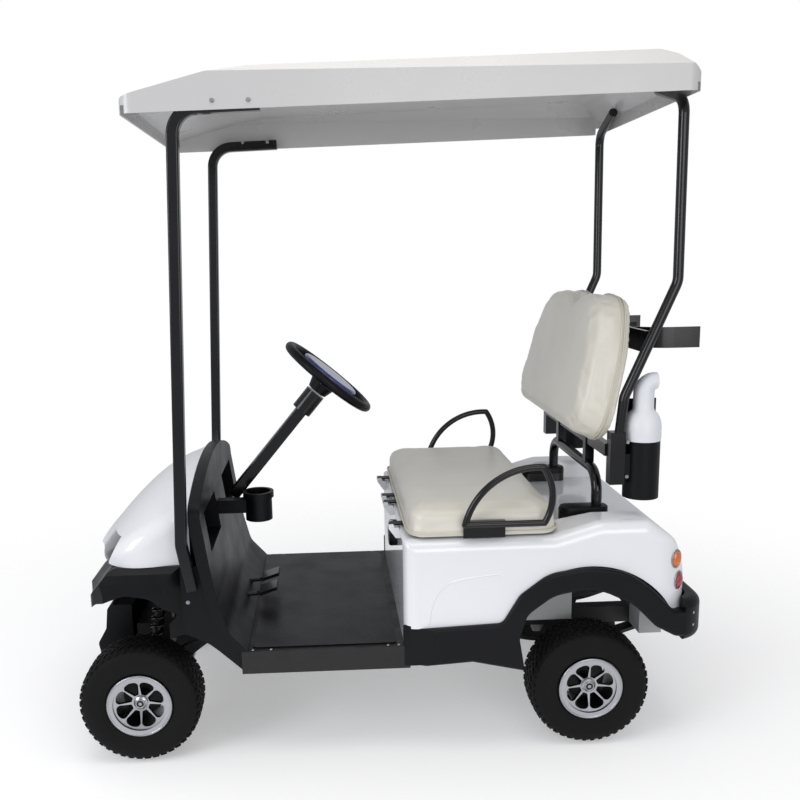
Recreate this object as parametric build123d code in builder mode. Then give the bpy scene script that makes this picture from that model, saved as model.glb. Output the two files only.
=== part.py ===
"""Compact two-place electric golf cart: chassis, body panels, seat, roof, steering and wheels.

X points forward, Y to the left-hand side and Z up.  The origin is on the ground, in the
middle of the overall length and width.  Outlines of the rear half are measured forward of
the rear axle, those of the front half forward of the front axle, and heights of the body
are above the floor plate, all in millimetres.
"""
from build123d import *
from math import atan2, cos, degrees, radians, sin
import os

os.makedirs("parts", exist_ok=True)

# ---------------------------------------------------------------- overall sizes
wheelbase = 1244.0
rear_overhang = 331.0
front_overhang = 196.0
floor_height = 312.0
body_half_width = 415.0

# clearances
pin_gap = 0.5              # round a pin in its eye
lid_gap = 5.5              # between the seat lid and the deck
bottle_gap = 1.5

# wheels
tyre_diameter = 338.0
tyre_width = 130.0
tyre_shoulder = 22.0
rim_diameter = 152.0       # bead seat
rim_width = 108.0
rim_flange_height = 13.0
rim_flange = 6.0
rim_wall = 3.5
rim_spokes = 8
spoke_width = 6.0
spoke_disc = 10.0
hub_diameter = 38.0
hub_length = 62.0
spindle_diameter = 26.0

# chassis
floor_plate = 4.0
floor_rear = 500.0         # ahead of the rear axle
floor_front = -284.0       # ahead of the front axle, so behind it
mat_thickness = 4.0
mat_margin = 20.0
sill_depth = 64.0
panel_wall = 4.0
rail_height = 50.0
rail_width = 40.0
rail_half_spacing = 150.0
rail_rear = -255.0
rail_front = 46.0
tower_reach = 100.0        # across the cart
tower_length = 50.0
tower_plate = 12.0
battery_length = 462.0
battery_side_gap = 35.0    # to the tyres
battery_height = 225.0
axle_tube = 46.0
leaf_width = 44.0
leaf_half_length = 250.0
spring_half_spacing = 195.0
spring_diameter = 44.0
spring_wire = 9.0
spring_coils = 8
damper_diameter = 31.0

# rear body
deck_height = 300.0        # seat deck above the floor
well_height = 288.0        # bag deck above the floor
haunch_height = 335.0
body_front = 516.0
body_rear = -276.0
body_corner = 105.0
body_hem = 54.0            # lower edge above the floor
haunch_round = 34.0
arch_radius = 258.0
arch_centre = (10.0, -42.0)
bay_rear = 130.0
bay_front = 478.0
bay_half_width = 300.0
flare_stand_out = 15.0
flare_depth = 40.0
flare_round = 9.0
flare_taper = 60.0         # length over which its front end comes in
bumper_rear = -316.0
bumper_height = 118.0
bumper_base = -7.0
bumper_corner = 90.0
bumper_round = 24.0
lamp_width = 34.0
lamp_height = 46.0
lamp_bulge = 11.0

# front body
cowl_base = 244.0
cowl_inset = 33.0          # cowl side inside the body's side
fender_stand_out = 10.0
fender_brow = 43.0         # across
fender_drop = 62.0         # down
kick_inset = 30.0          # kick panel inside the body's side
dash_inset = 13.0
dash_shoulder = 404.0
dash_crown = 486.0
valance_half_width = 180.0
lamp_recess = 3.0
lens_depth = 16.0
lens_gap = 2.0             # above the fender
lamp_reach = 182.0         # in from the cowl's side

# roof and posts
roof_stand_out = 5.0       # roof edge outside the body's side
roof_wall = 5.0
roof_front = -53.0
roof_rear = -236.0
roof_slope = 42.0
roof_corner = 34.0         # in plan
roof_rise = 32.0           # rear edge above the front edge
roof_depth = 104.0         # crown above the rear edge
front_rim_height = 1399.0
front_post_size = 30.0
rear_post_diameter = 27.0
rear_post_half_spacing = 350.0

# seat
seat_front = 507.0
seat_rear = 88.0
seat_inset = 10.0          # cushion side inside the body's side
seat_board_thickness = 12.0
cushion_depth = 82.0
board_inset = 14.0         # board inside the cushion
board_gap = 0.3
hinge_reach = 22.0         # ahead of the rear body
hinge_places = (-262.0, -37.0, 37.0, 262.0)
hinge_width = 30.0
hinge_eye = 12.0
hinge_pin = 6.0
backrest_tilt = 13.4
backrest_half_width = 365.0
backrest_depth = 92.0
backrest_round = 30.0
backrest_height = 396.0
backrest_board = 12.0
backrest_foot = (54.0, 256.0)   # front lower edge: ahead of the rear axle, above the deck
arm_tube = 18.0
arm_plate = 12.0
arm_plate_length = 112.0
arm_plate_place = 300.0    # ahead of the rear axle
frame_tube = 30.0
frame_upright = 26.0
upright_half_spacing = 151.0
pad_half_spacing = 240.0
pad_height = 41.0

# luggage
rack_height = 58.0
rack_wall = 5.0
rack_base = 780.0
scallop_radius = 112.0
scallop_half_spacing = 122.0
prong_reach = 232.0        # end of the middle prong behind the rear axle
holder_diameter = 96.0
holder_wall = 4.0
holder_height = 184.0
holder_place = (-146.0, 330.0, 384.0)   # ahead of the rear axle, across, above the floor

# steering
steering_wheel_diameter = 320.0
steering_rim = 27.0
column_slope = 49.9        # below the horizontal
steering_centre = (-542.0, 694.0)
column_size = 36.0
column_length = 470.0
kingpin_inset = 88.0       # inside the middle of the tyre
kingpin_diameter = 16.0
knuckle_diameter = 34.0
knuckle_height = 56.0
steering_arm = 90.0
arm_width = 18.0
arm_thickness = 12.0
tie_rod_diameter = 14.0
tie_rod_drop = 33.0        # below the wheel centres
stud_diameter = 10.0
cup_radius = 40.0
cup_collar = 6.0
cup_wall = 4.0
cup_depth = 86.0
cup_place = (-322.0, 80.0, 280.0)       # ahead of the front axle, across, above the floor

# ---------------------------------------------------------------- places that follow
overall_length = rear_overhang + wheelbase + front_overhang
rear_axle_x = rear_overhang - overall_length / 2
front_axle_x = rear_axle_x + wheelbase
axle_height = tyre_diameter / 2
track_half = body_half_width - tyre_width / 2
rail_top = floor_height - floor_plate
flare_half_width = body_half_width + flare_stand_out
dash_half_width = body_half_width - dash_inset
seat_half_width = body_half_width - seat_inset
rear_rim_height = front_rim_height + roof_rise
kingpin_half_spacing = track_half - kingpin_inset
battery_half_width = track_half - tyre_width / 2 - battery_side_gap
roof_half_width = body_half_width + roof_stand_out
front_post_y = roof_half_width - roof_wall - front_post_size / 2
deck_z = floor_height + deck_height
kick_half_width = body_half_width - kick_inset


def side_view(axle_x, y, height=floor_height):
    """Upright plane along the cart at width y, with its origin above or below an axle."""
    return Plane(origin=(axle_x, y, height), x_dir=(1, 0, 0), z_dir=(0, -1, 0))


def front_view(x):
    """Upright plane across the cart at x, facing forward, with its origin at floor level."""
    return Plane(origin=(x, 0, floor_height), x_dir=(0, 1, 0), z_dir=(1, 0, 0))


def rounded(rows):
    """Face of a closed outline from rows of (across, up) or (across, up, corner radius)."""
    corners = [row[2] if len(row) > 2 else 0 for row in rows]
    with BuildSketch(Plane.XY, mode=Mode.PRIVATE) as face:
        with BuildLine():
            FilletPolyline(*[row[:2] for row in rows], radius=corners, close=True)
        make_face()
    return face.sketch


def slab(rows, axle_x, y_low, y_high, height=floor_height):
    """Solid between two widths from a side outline."""
    with BuildPart() as piece:
        with BuildSketch(side_view(axle_x, y_high, height)):
            add(rounded(rows))
        extrude(amount=y_high - y_low)
    return piece.part


def pair(rows, axle_x, y_low, y_high):
    """The same side outline as a slab on the left and on the right."""
    return [slab(rows, axle_x, y_low, y_high), slab(rows, axle_x, -y_high, -y_low)]


def across(rows, axle_x, half_width):
    """Slab right across the cart."""
    return slab(rows, axle_x, -half_width, half_width)


def bent_path(points, bend):
    """Path of a bent tube: straight runs joined by tangent arcs."""
    with BuildLine() as path:
        FilletPolyline(*points, radius=bend)
    return path.line


def path_start(path, x_dir=None):
    """Plane across the start of a path."""
    return Plane(origin=path @ 0, x_dir=x_dir, z_dir=path % 0)


def rear_points(rows, y):
    """World points from rows of (ahead of the rear axle, above the floor)."""
    return [(rear_axle_x + x, y, floor_height + z) for x, z in rows]


def front_points(rows, y):
    """World points from rows of (ahead of the front axle, above the floor)."""
    return [(front_axle_x + x, y, floor_height + z) for x, z in rows]


# ---------------------------------------------------------------- chassis
rail_length = rail_front + wheelbase - rail_rear
rail_middle = rear_axle_x + rail_rear + rail_length / 2
cross_rails = (
    rear_axle_x + rail_rear + rail_width / 2,
    rear_axle_x + 150,
    rear_axle_x + floor_rear + rail_width / 2,
    front_axle_x + floor_front - rail_width / 2,
    front_axle_x + rail_front - rail_width / 2,
)
spring_lower = (0.0, axle_height + axle_tube / 2)
spring_upper = (-38.0, axle_height + 276.0)
with BuildPart() as chassis_frame:
    with BuildSketch(Plane.XY.offset(rail_top - rail_height)):
        with Locations((rail_middle, rail_half_spacing), (rail_middle, -rail_half_spacing)):
            Rectangle(rail_length, rail_width)
        with Locations(*[(place, 0) for place in cross_rails]):
            Rectangle(rail_width, 2 * rail_half_spacing)
    extrude(amount=rail_height)
    # towers over the front springs
    tower_x = front_axle_x + spring_upper[0]
    for side in (-1, 1):
        with BuildSketch(Plane.XY.offset(rail_top)):
            with Locations((tower_x, side * rail_half_spacing)):
                Rectangle(rail_width, rail_width)
        extrude(amount=spring_upper[1] + tower_plate - rail_top)
        with BuildSketch(Plane.XY.offset(spring_upper[1])):
            with Locations((tower_x, side * (rail_half_spacing + tower_reach / 2 - rail_width / 2))):
                Rectangle(tower_length, tower_reach)
        extrude(amount=tower_plate)
chassis_frame.part.label = "chassis_frame"

plate_rear = rear_axle_x + floor_rear
plate_front = front_axle_x + floor_front
plate_length = plate_front - plate_rear
plate_middle = (plate_rear + plate_front) / 2
sill_half_width = dash_half_width
with BuildPart() as floor_pan:
    with BuildSketch(Plane.XY.offset(rail_top)):
        with Locations((plate_middle, 0)):
            Rectangle(plate_length, 2 * sill_half_width)
    extrude(amount=floor_plate)
    for side in (-1, 1):
        with Locations((
            plate_middle, side * (sill_half_width - panel_wall / 2), floor_height - sill_depth / 2,
        )):
            Box(plate_length, panel_wall, sill_depth)
floor_pan.part.label = "floor_pan"

dash_foot = -304.0         # rear face of the dash where it meets the floor
mat_rear = rear_axle_x + body_front + mat_margin
mat_front = front_axle_x + dash_foot - mat_margin / 2
with BuildPart() as floor_mat:
    with BuildSketch(Plane.XY.offset(floor_height)):
        with Locations(((mat_rear + mat_front) / 2, 0)):
            RectangleRounded(mat_front - mat_rear, 2 * (sill_half_width - mat_margin), 12)
    extrude(amount=mat_thickness)
floor_mat.part.label = "floor_mat"

charger = (66.0, 86.0, 68.0)
with BuildPart() as battery_pack:
    with Locations((
        rear_axle_x + floor_rear - 24 - battery_length / 2, 0, rail_top + battery_height / 2,
    )):
        Box(battery_length, 2 * battery_half_width, battery_height)
    with Locations((
        rear_axle_x + rail_rear + charger[0] / 2 + 4,
        rail_half_spacing + rail_width / 2 + charger[1] / 2,
        rail_top - rail_height + charger[2] / 2,
    )):
        Box(*charger)
battery_pack.part.label = "battery_pack"

# ---------------------------------------------------------------- axles and springs
gear_case = 62.0
motor_radius = 64.0
motor_length = 150.0
spindle_end = track_half + 20
axle_reach = track_half - rim_width / 2 - 10
with BuildPart() as rear_axle:
    for radius, reach in ((axle_tube / 2, axle_reach), (gear_case, gear_case), (spindle_diameter / 2, spindle_end)):
        with BuildSketch(side_view(rear_axle_x, reach, axle_height)):
            Circle(radius)
        extrude(amount=2 * reach)
    with Locations((rear_axle_x - gear_case / 2 - motor_length / 2, 0, axle_height + 6)):
        Cylinder(motor_radius, motor_length, rotation=(0, 90, 0))
rear_axle.part.label = "rear_axle"

leaf_end = rail_top - rail_height - axle_height
leaf_seat = axle_tube / 2 + 14
leaf_rows = (   # ahead, above the wheel centres, bend
    (-leaf_half_length, leaf_end, 0), (-leaf_half_length, leaf_end - 9, 0),
    (-120, leaf_seat, 300), (120, leaf_seat, 300),
    (leaf_half_length, leaf_end - 9, 0), (leaf_half_length, leaf_end, 0),
    (120, leaf_seat + 12, 300), (-120, leaf_seat + 12, 300),
)
saddle_rows = ((-48, axle_tube / 2), (48, axle_tube / 2), (48, leaf_seat + 5), (-48, leaf_seat + 5))
with BuildPart() as rear_springs:
    for side in (-1, 1):
        middle = side * rail_half_spacing
        for rows in (leaf_rows, saddle_rows):
            add(slab(rows, rear_axle_x, middle - leaf_width / 2, middle + leaf_width / 2, axle_height))
rear_springs.part.label = "rear_springs"

lug_gap = 3.0
lug_thickness = 10.0
lug_overhang = 22.0        # past the kingpin
web_thickness = 12.0
web_reach = kingpin_half_spacing - 30.0
fork_height = knuckle_height + 2 * (lug_gap + lug_thickness)
fork_length = kingpin_half_spacing + lug_overhang - web_reach + web_thickness
fork_depth = axle_tube - 2
link_top = rail_top - rail_height - axle_height
link_width = 20.0
link_rows = ((-20, -8), (0, 18), (-160, link_top), (-190, link_top), (-60, -8))
with BuildPart() as front_axle:
    with BuildSketch(side_view(front_axle_x, web_reach, axle_height)):
        RectangleRounded(axle_tube, axle_tube, 6)
    extrude(amount=2 * web_reach)
    for side in (-1, 1):
        for level in (-1, 1):
            lug_z = axle_height + level * (fork_height - lug_thickness) / 2
            with Locations((front_axle_x, side * (web_reach - web_thickness + fork_length / 2), lug_z)):
                Box(fork_depth, fork_length, lug_thickness)
        with Locations((front_axle_x, side * (web_reach - web_thickness / 2), axle_height)):
            Box(fork_depth, web_thickness, fork_height)
        with Locations((front_axle_x, side * kingpin_half_spacing, axle_height)):
            Cylinder(kingpin_diameter / 2, fork_height + 8)
        link_low = side * rail_half_spacing - link_width / 2
        add(slab(link_rows, front_axle_x, link_low, link_low + link_width, axle_height))
front_axle.part.label = "front_axle"

spring_lean = degrees(atan2(spring_lower[0] - spring_upper[0], spring_upper[1] - spring_lower[1]))
spring_length = (spring_upper[1] - spring_lower[1]) / cos(radians(spring_lean))
with BuildPart() as front_springs:
    for side in (-1, 1):
        foot = Plane(
            origin=(front_axle_x + spring_lower[0], side * spring_half_spacing, spring_lower[1]),
            z_dir=(-sin(radians(spring_lean)), 0, cos(radians(spring_lean))),
        )
        with BuildSketch(foot):
            Circle(damper_diameter / 2)
        extrude(amount=spring_length)
        for coil in range(spring_coils):
            pitch = (spring_length - 60) / (spring_coils - 1)
            with Locations(foot.offset(40 + coil * pitch)):
                Torus((spring_diameter - spring_wire) / 2, spring_wire / 2)
    # trimmed square where they meet the axle and the towers
    with Locations((front_axle_x - 20, 0, (spring_lower[1] + spring_upper[1]) / 2)):
        Box(200, 4 * spring_half_spacing, spring_upper[1] - spring_lower[1], mode=Mode.INTERSECT)
front_springs.part.label = "front_springs"

# ---------------------------------------------------------------- rear body
rear_body_rows = (   # ahead of the rear axle, above the floor, corner radius
    (body_front, body_hem, 0), (body_front, deck_height, 10), (107, deck_height, 40),
    (-15, haunch_height, 60), (-150, haunch_height, 50), (-228, 277, 60), (-264, 168, 60),
    (body_rear, 78, 0), (body_rear, body_hem, 0),
)
well_half_width = 262.0
well_slope = 55.0
well_front = 78.0          # ahead of the rear axle


def rear_body_outside(inset=0.0):
    """Rear body as a full solid, less an inset on every side but the open bottom."""
    width = 2 * (body_half_width - inset)
    length = body_front - body_rear
    with BuildPart() as form:
        with BuildSketch(side_view(rear_axle_x, width / 2)):
            add(rounded(rear_body_rows))
            if inset:
                offset(amount=-inset)
        extrude(amount=width)
        fillet(
            [edge for edge in form.edges() if abs(abs(edge.center().Y) - width / 2) < 1
             and edge.center().Z > floor_height + 200
             and edge.center().X < rear_axle_x + body_front - inset - 1],
            haunch_round - inset,
        )
        # rounded in plan at the rear corners
        with BuildSketch(Plane.XY.offset(floor_height)):
            with Locations((rear_axle_x + body_rear + length / 2, 0)):
                RectangleRounded(length - 2 * inset, width, body_corner - inset)
            with Locations((rear_axle_x + body_front - length / 4, 0)):
                Rectangle(length / 2 - 2 * inset, width)
        extrude(amount=2 * haunch_height, mode=Mode.INTERSECT)
        # bag deck between the haunches
        floor = well_height - inset
        with BuildSketch(front_view(rear_axle_x + well_front + inset)):
            Polygon(
                (-well_half_width - inset, floor), (well_half_width + inset, floor),
                (well_half_width + inset + 2 * well_slope, floor + 2 * well_slope),
                (-well_half_width - inset - 2 * well_slope, floor + 2 * well_slope), align=None)
        extrude(amount=-2 * length, mode=Mode.SUBTRACT)
    return form.part


def arch_cutters():
    """Cylinders of both rear wheel arches."""
    return slab(
        [(x * arch_radius + arch_centre[0], z * arch_radius + arch_centre[1], arch_radius * 0.999)
         for x, z in ((-1, -1), (1, -1), (1, 1), (-1, 1))],
        rear_axle_x, -flare_half_width, flare_half_width,
    )


rear_body_solid = rear_body_outside()
rear_arches = arch_cutters()
with BuildPart() as rear_body:
    add(rear_body_solid)
    add(rear_body_outside(panel_wall), mode=Mode.SUBTRACT)
    # open below
    with BuildSketch(Plane.XY.offset(floor_height + body_hem - 1)):
        with Locations((rear_axle_x + (body_front + body_rear) / 2, 0)):
            RectangleRounded(
                body_front - body_rear - 2 * panel_wall, 2 * (body_half_width - panel_wall),
                body_corner - panel_wall)
        with Locations((rear_axle_x + body_front - panel_wall - 100, 0)):
            Rectangle(200, 2 * (body_half_width - panel_wall))
    extrude(amount=2 * panel_wall, mode=Mode.SUBTRACT)
    add(rear_arches, mode=Mode.SUBTRACT)
    # battery bay under the seat
    with BuildSketch(Plane.XY.offset(deck_z - 2 * panel_wall)):
        with Locations((rear_axle_x + (bay_front + bay_rear) / 2, 0)):
            RectangleRounded(bay_front - bay_rear, 2 * bay_half_width, 25)
    extrude(amount=3 * panel_wall, mode=Mode.SUBTRACT)
    # riser from the floor to the hem
    with Locations((rear_axle_x + body_front - panel_wall / 2, 0, floor_height + body_hem / 2)):
        Box(panel_wall, 2 * (sill_half_width - panel_wall), body_hem)
rear_body.part.label = "rear_body"

flare_tail = -250.0
flare_rows = (
    (floor_rear, body_hem, 0), (250, 64, 24), (203, 142, 60), (125, 200, 110), (14, 217, 200),
    (-85, 200, 120), (-165, 140, 60), (-222, 80, 30), (flare_tail, 80, 0), (flare_tail, 10, 0),
    (-225, 10, 30), (-170, 40, 50), (-110, 103, 90), (0, 158, 160), (110, 139, 110),
    (182, 87, 50), (203, 16, 20), (188, -75, 0), (332, -43, 0), (floor_rear, -53, 0),
)
with BuildPart() as rear_fenders:
    for side in (-1, 1):
        with BuildSketch(side_view(rear_axle_x, side * flare_half_width)):
            add(rounded(flare_rows))
        extrude(amount=side * flare_depth)
    outer_rims = [edge for edge in rear_fenders.edges()
                  if abs(abs(edge.center().Y) - flare_half_width) < 0.5
                  and edge.center().X > rear_axle_x + flare_tail + 1]
    fillet(outer_rims, flare_round)
    # front ends taper in to the sill
    for side in (-1, 1):
        with BuildSketch(Plane.XY.offset(floor_height - 2 * sill_depth)):
            Polygon(
                (plate_rear + 1, side * (flare_half_width + 1)), (plate_rear + 1, side * sill_half_width),
                (plate_rear - flare_taper, side * (flare_half_width + 1)), align=None)
        extrude(amount=4 * sill_depth, mode=Mode.SUBTRACT)
    with BuildPart(mode=Mode.PRIVATE) as covered:
        add(rear_body_solid)
        add(rear_arches, mode=Mode.SUBTRACT)
    add(covered.part, mode=Mode.SUBTRACT)
rear_fenders.part.label = "rear_fenders"

bumper_wall = 40.0
with BuildPart() as rear_bumper:
    with BuildSketch(Plane.XY.offset(floor_height + bumper_base)):
        with Locations((rear_axle_x + bumper_rear + 200, 0)):
            RectangleRounded(400, 2 * flare_half_width, bumper_corner)
    extrude(amount=bumper_height)
    level_faces = rear_bumper.faces().sort_by(Axis.Z)
    fillet(level_faces[-1].edges() + level_faces[0].edges(), bumper_round)
    with BuildSketch(Plane.XY.offset(floor_height + bumper_base)):
        with Locations((rear_axle_x + bumper_rear + bumper_wall + 200, 0)):
            RectangleRounded(400, 2 * (flare_half_width - 28), bumper_corner - 24)
        with Locations((rear_axle_x + flare_tail + 200, 0)):
            Rectangle(400, 2 * flare_half_width + 2)
    extrude(amount=bumper_height, mode=Mode.SUBTRACT)
    add(rear_body_solid, mode=Mode.SUBTRACT)
rear_bumper.part.label = "rear_bumper"

corner_middle = (rear_axle_x + body_rear + body_corner, body_half_width - body_corner)
lamp_turn = 40.0           # outward from straight back
rear_lamps = []
for label, height in (("indicator_lamps", 219.0), ("stop_lamps", 160.0)):
    with BuildPart() as lamps:
        for side in (-1, 1):
            direction = (-cos(radians(lamp_turn)), side * sin(radians(lamp_turn)), 0)
            spot = Plane(
                origin=(corner_middle[0], side * corner_middle[1], floor_height + height),
                x_dir=(-direction[1], direction[0], 0), z_dir=direction)
            with BuildSketch(spot.offset(body_corner - 30)):
                Ellipse(lamp_width / 2, lamp_height / 2)
            extrude(amount=30 + lamp_bulge)
        fillet(lamps.faces().group_by(Axis.X)[0].edges(), lamp_bulge * 0.6)
        add(rear_body_solid, mode=Mode.SUBTRACT)
    lamps.part.label = label
    rear_lamps.append(lamps)

socket_radius = 38.0
with BuildPart() as charge_socket:
    with BuildSketch(front_view(rear_axle_x + body_front)):
        with Locations((180, 254)):
            Circle(socket_radius)
    extrude(amount=24)
    fillet(charge_socket.faces().sort_by(Axis.X)[-1].edges(), 8)
charge_socket.part.label = "charge_socket"

# ---------------------------------------------------------------- seat
seat_middle = rear_axle_x + (seat_front + seat_rear) / 2
hinge_axis = (rear_axle_x + body_front + hinge_reach, deck_z + lid_gap - 2)
strap_length = body_front + hinge_reach - seat_front + board_inset + 20
strap_thickness = 4.0
ear_thickness = 4.0
ear_rows = ((-22, -34), (-12, -34), (8, -6), (8, 6), (-6, 6), (-8, -4), (-22, -4))
with BuildPart() as seat_hinges:
    for middle in hinge_places:
        for side in (-1, 1):
            ear_y = middle + side * (hinge_width / 2 + 1 + ear_thickness / 2)
            add(slab(ear_rows, hinge_axis[0], ear_y - ear_thickness / 2, ear_y + ear_thickness / 2, hinge_axis[1]))
        with Locations((rear_axle_x + body_front, middle, hinge_axis[1] - 19)):
            Box(3, hinge_width + 2 + 2 * ear_thickness, 30, align=(Align.MIN, Align.CENTER, Align.CENTER))
        with Locations((hinge_axis[0], middle, hinge_axis[1])):
            Cylinder(hinge_pin / 2, hinge_width + 4, rotation=(90, 0, 0))
seat_hinges.part.label = "seat_hinges"

with BuildPart() as seat_board:
    with BuildSketch(Plane.XY.offset(deck_z + lid_gap)):
        with Locations((seat_middle, 0)):
            RectangleRounded(seat_front - seat_rear - 2 * board_inset, 2 * (seat_half_width - board_inset), 40)
    extrude(amount=seat_board_thickness)
    for middle in hinge_places:
        with Locations((hinge_axis[0], middle, deck_z + lid_gap)):
            Box(strap_length, hinge_width, strap_thickness, align=(Align.MAX, Align.CENTER, Align.MIN))
        with Locations((hinge_axis[0], middle, hinge_axis[1])):
            Cylinder(hinge_eye / 2, hinge_width, rotation=(90, 0, 0))
    for middle in hinge_places:
        with Locations((hinge_axis[0], middle, hinge_axis[1])):
            Cylinder(hinge_pin / 2 + pin_gap, hinge_width + 2, rotation=(90, 0, 0), mode=Mode.SUBTRACT)
seat_board.part.label = "seat_board"

with BuildPart() as seat_cushion:
    with BuildSketch(Plane.XY.offset(deck_z + lid_gap)):
        with Locations((seat_middle, 0)):
            RectangleRounded(seat_front - seat_rear, 2 * seat_half_width, 60)
    extrude(amount=cushion_depth)
    fillet(seat_cushion.faces().sort_by(Axis.Z)[-1].edges(), 26)
    # recess for the board and the hinge straps
    with BuildSketch(Plane.XY.offset(deck_z + lid_gap)):
        with Locations((seat_middle, 0)):
            RectangleRounded(
                seat_front - seat_rear - 2 * (board_inset - board_gap),
                2 * (seat_half_width - board_inset + board_gap), 40)
    extrude(amount=seat_board_thickness + board_gap, mode=Mode.SUBTRACT)
    for middle in hinge_places:
        with Locations((hinge_axis[0], middle, deck_z + lid_gap)):
            Box(strap_length, hinge_width + 2, strap_thickness + 1,
                align=(Align.MAX, Align.CENTER, Align.MIN), mode=Mode.SUBTRACT)
seat_cushion.part.label = "seat_cushion"

arm_y = seat_half_width + arm_plate / 2 + arm_tube / 2
arm_bar_height = deck_height + 44
arm_foot = (352, arm_bar_height)        # ahead of the rear axle, above the floor
arm_back = (140, arm_bar_height)
arm_top = (145, arm_bar_height + 152)
arm_arcs = (
    (arm_foot, (268, arm_bar_height + 120), arm_top),
    (arm_top, (120, arm_bar_height + 78), arm_back),
)
with BuildPart() as armrests:
    for side in (-1, 1):
        for rows in arm_arcs:
            with BuildLine() as bow:
                ThreePointArc(*rear_points(rows, side * arm_y))
            with BuildSketch(path_start(bow.line)):
                Circle(arm_tube / 2)
            sweep(path=bow.line)
        with Locations((
            rear_axle_x + (arm_foot[0] + arm_back[0]) / 2, side * arm_y, floor_height + arm_bar_height,
        )):
            Cylinder(arm_tube / 2, arm_foot[0] - arm_back[0], rotation=(0, 90, 0))
        for corner in rear_points((arm_foot, arm_back, arm_top), side * arm_y):
            with Locations(corner):
                Sphere(arm_tube / 2)
        plate_top = floor_height + arm_bar_height + arm_tube / 2
        plate_base = deck_z + lid_gap + 1
        with Locations((
            rear_axle_x + arm_plate_place, side * (seat_half_width + arm_plate / 2),
            (plate_top + plate_base) / 2,
        )):
            Box(arm_plate_length, arm_plate, plate_top - plate_base)
armrests.part.label = "armrests"

# ---------------------------------------------------------------- backrest and its frame
backrest_front = Plane(
    origin=(rear_axle_x + backrest_foot[0], 0, deck_z + backrest_foot[1]),
    x_dir=(0, 1, 0),
    z_dir=(cos(radians(backrest_tilt)), 0, sin(radians(backrest_tilt))),
)
backrest_rows = (   # across, up the slope, corner radius
    (0, 0, 0), (backrest_half_width - 25, 0, 80), (backrest_half_width, 80, 100),
    (backrest_half_width - 22, 255, 130), (262, backrest_height - 8, 110),
    (110, backrest_height + 6, 130), (0, backrest_height - 34, 0),
)


def backrest_outline():
    """Backrest from the front: wide foot, sloped shoulders and two lobes."""
    with BuildSketch(Plane.XY, mode=Mode.PRIVATE) as face:
        add(rounded(backrest_rows))
        mirror(about=Plane.YZ)
    return face.sketch


with BuildPart() as backrest_cushion:
    with BuildSketch(backrest_front):
        add(backrest_outline())
    extrude(amount=-backrest_depth)
    fillet(backrest_cushion.faces().sort_by(Axis.X)[-1].edges(), backrest_round)
backrest_cushion.part.label = "backrest_cushion"

with BuildPart() as backrest_back:
    with BuildSketch(backrest_front.offset(-backrest_depth)):
        add(backrest_outline())
        offset(amount=-32)
    extrude(amount=-backrest_board)
backrest_back.part.label = "backrest_board"

arch_z = floor_height + 433
pad_top = floor_height + well_height + pad_height
upright_x = rear_axle_x - 53
upright_top = deck_z + backrest_foot[1] - 2
beam_z = floor_height + 517
bracket_width = 34.0
bracket_length = 40.0
bracket_x = -68.0          # ahead of the rear axle
with BuildPart() as seat_back_frame:
    with BuildSketch(Plane.XY.offset(floor_height + well_height)):
        for side in (-1, 1):
            with Locations((rear_axle_x - 16, side * (pad_half_spacing - 3))):
                SlotOverall(142, 40)
    extrude(amount=pad_height)
    arch = bent_path(
        [(upright_x, -pad_half_spacing, pad_top - 4), (upright_x, -pad_half_spacing, arch_z),
         (upright_x, pad_half_spacing, arch_z), (upright_x, pad_half_spacing, pad_top - 4)], 62)
    with BuildSketch(path_start(arch)):
        Circle(frame_tube / 2)
    sweep(path=arch)
    for side in (-1, 1):
        with Locations((upright_x, side * upright_half_spacing, (arch_z + upright_top) / 2)):
            Box(frame_upright, frame_upright, upright_top - arch_z)
        with BuildSketch(backrest_front.offset(-backrest_depth - backrest_board)):
            with Locations((side * upright_half_spacing, 90)):
                Rectangle(frame_upright, 216)
        extrude(amount=-8)
    with Locations((upright_x, 0, beam_z)):
        Box(20, 2 * rear_post_half_spacing - bracket_width, 34)
seat_back_frame.part.label = "seat_back_frame"

# ---------------------------------------------------------------- roof and posts
rear_post_rows = ((-64, 433), (-86, 664), (-218, 967), (-214, rear_rim_height - 11))
rear_post_tip = (-206.0, 190.0, rear_rim_height + 39)
with BuildPart() as rear_posts:
    for side in (-1, 1):
        points = rear_points(rear_post_rows, side * rear_post_half_spacing)
        points.append((
            rear_axle_x + rear_post_tip[0], side * rear_post_tip[1], floor_height + rear_post_tip[2],
        ))
        path = bent_path(points, [60, 60, 45])
        with BuildSketch(path_start(path)):
            Circle(rear_post_diameter / 2)
        sweep(path=path)
        with Locations((rear_axle_x + bracket_x, side * rear_post_half_spacing, beam_z - 18)):
            Box(bracket_length, bracket_width, 144)
rear_posts.part.label = "rear_posts"

front_post_rows = (
    (-161, 183), (-139, 310), (-182, front_rim_height + 11), (-394, front_rim_height + 18),
)
with BuildPart() as front_posts:
    for side in (-1, 1):
        path = bent_path(front_points(front_post_rows, side * front_post_y), [50, 65])
        with BuildSketch(path_start(path, (0, 1, 0))):
            RectangleRounded(front_post_size, front_post_size, 5)
        sweep(path=path)
front_posts.part.label = "front_posts"

roof_nose = wheelbase + roof_front
roof_rows = (   # ahead of the rear axle, above the floor, corner radius
    (roof_nose, front_rim_height, 0), (roof_nose - 2, front_rim_height + 38, 14),
    (roof_nose - 43, front_rim_height + 50, 60), (roof_nose - 211, front_rim_height + 93, 100),
    (roof_nose - 320, front_rim_height + 108, 200), (-139, rear_rim_height + roof_depth, 30),
    (-178, rear_rim_height + 90, 20), (roof_rear, rear_rim_height + 40, 12),
    (roof_rear + 2, rear_rim_height, 0),
)


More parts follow.
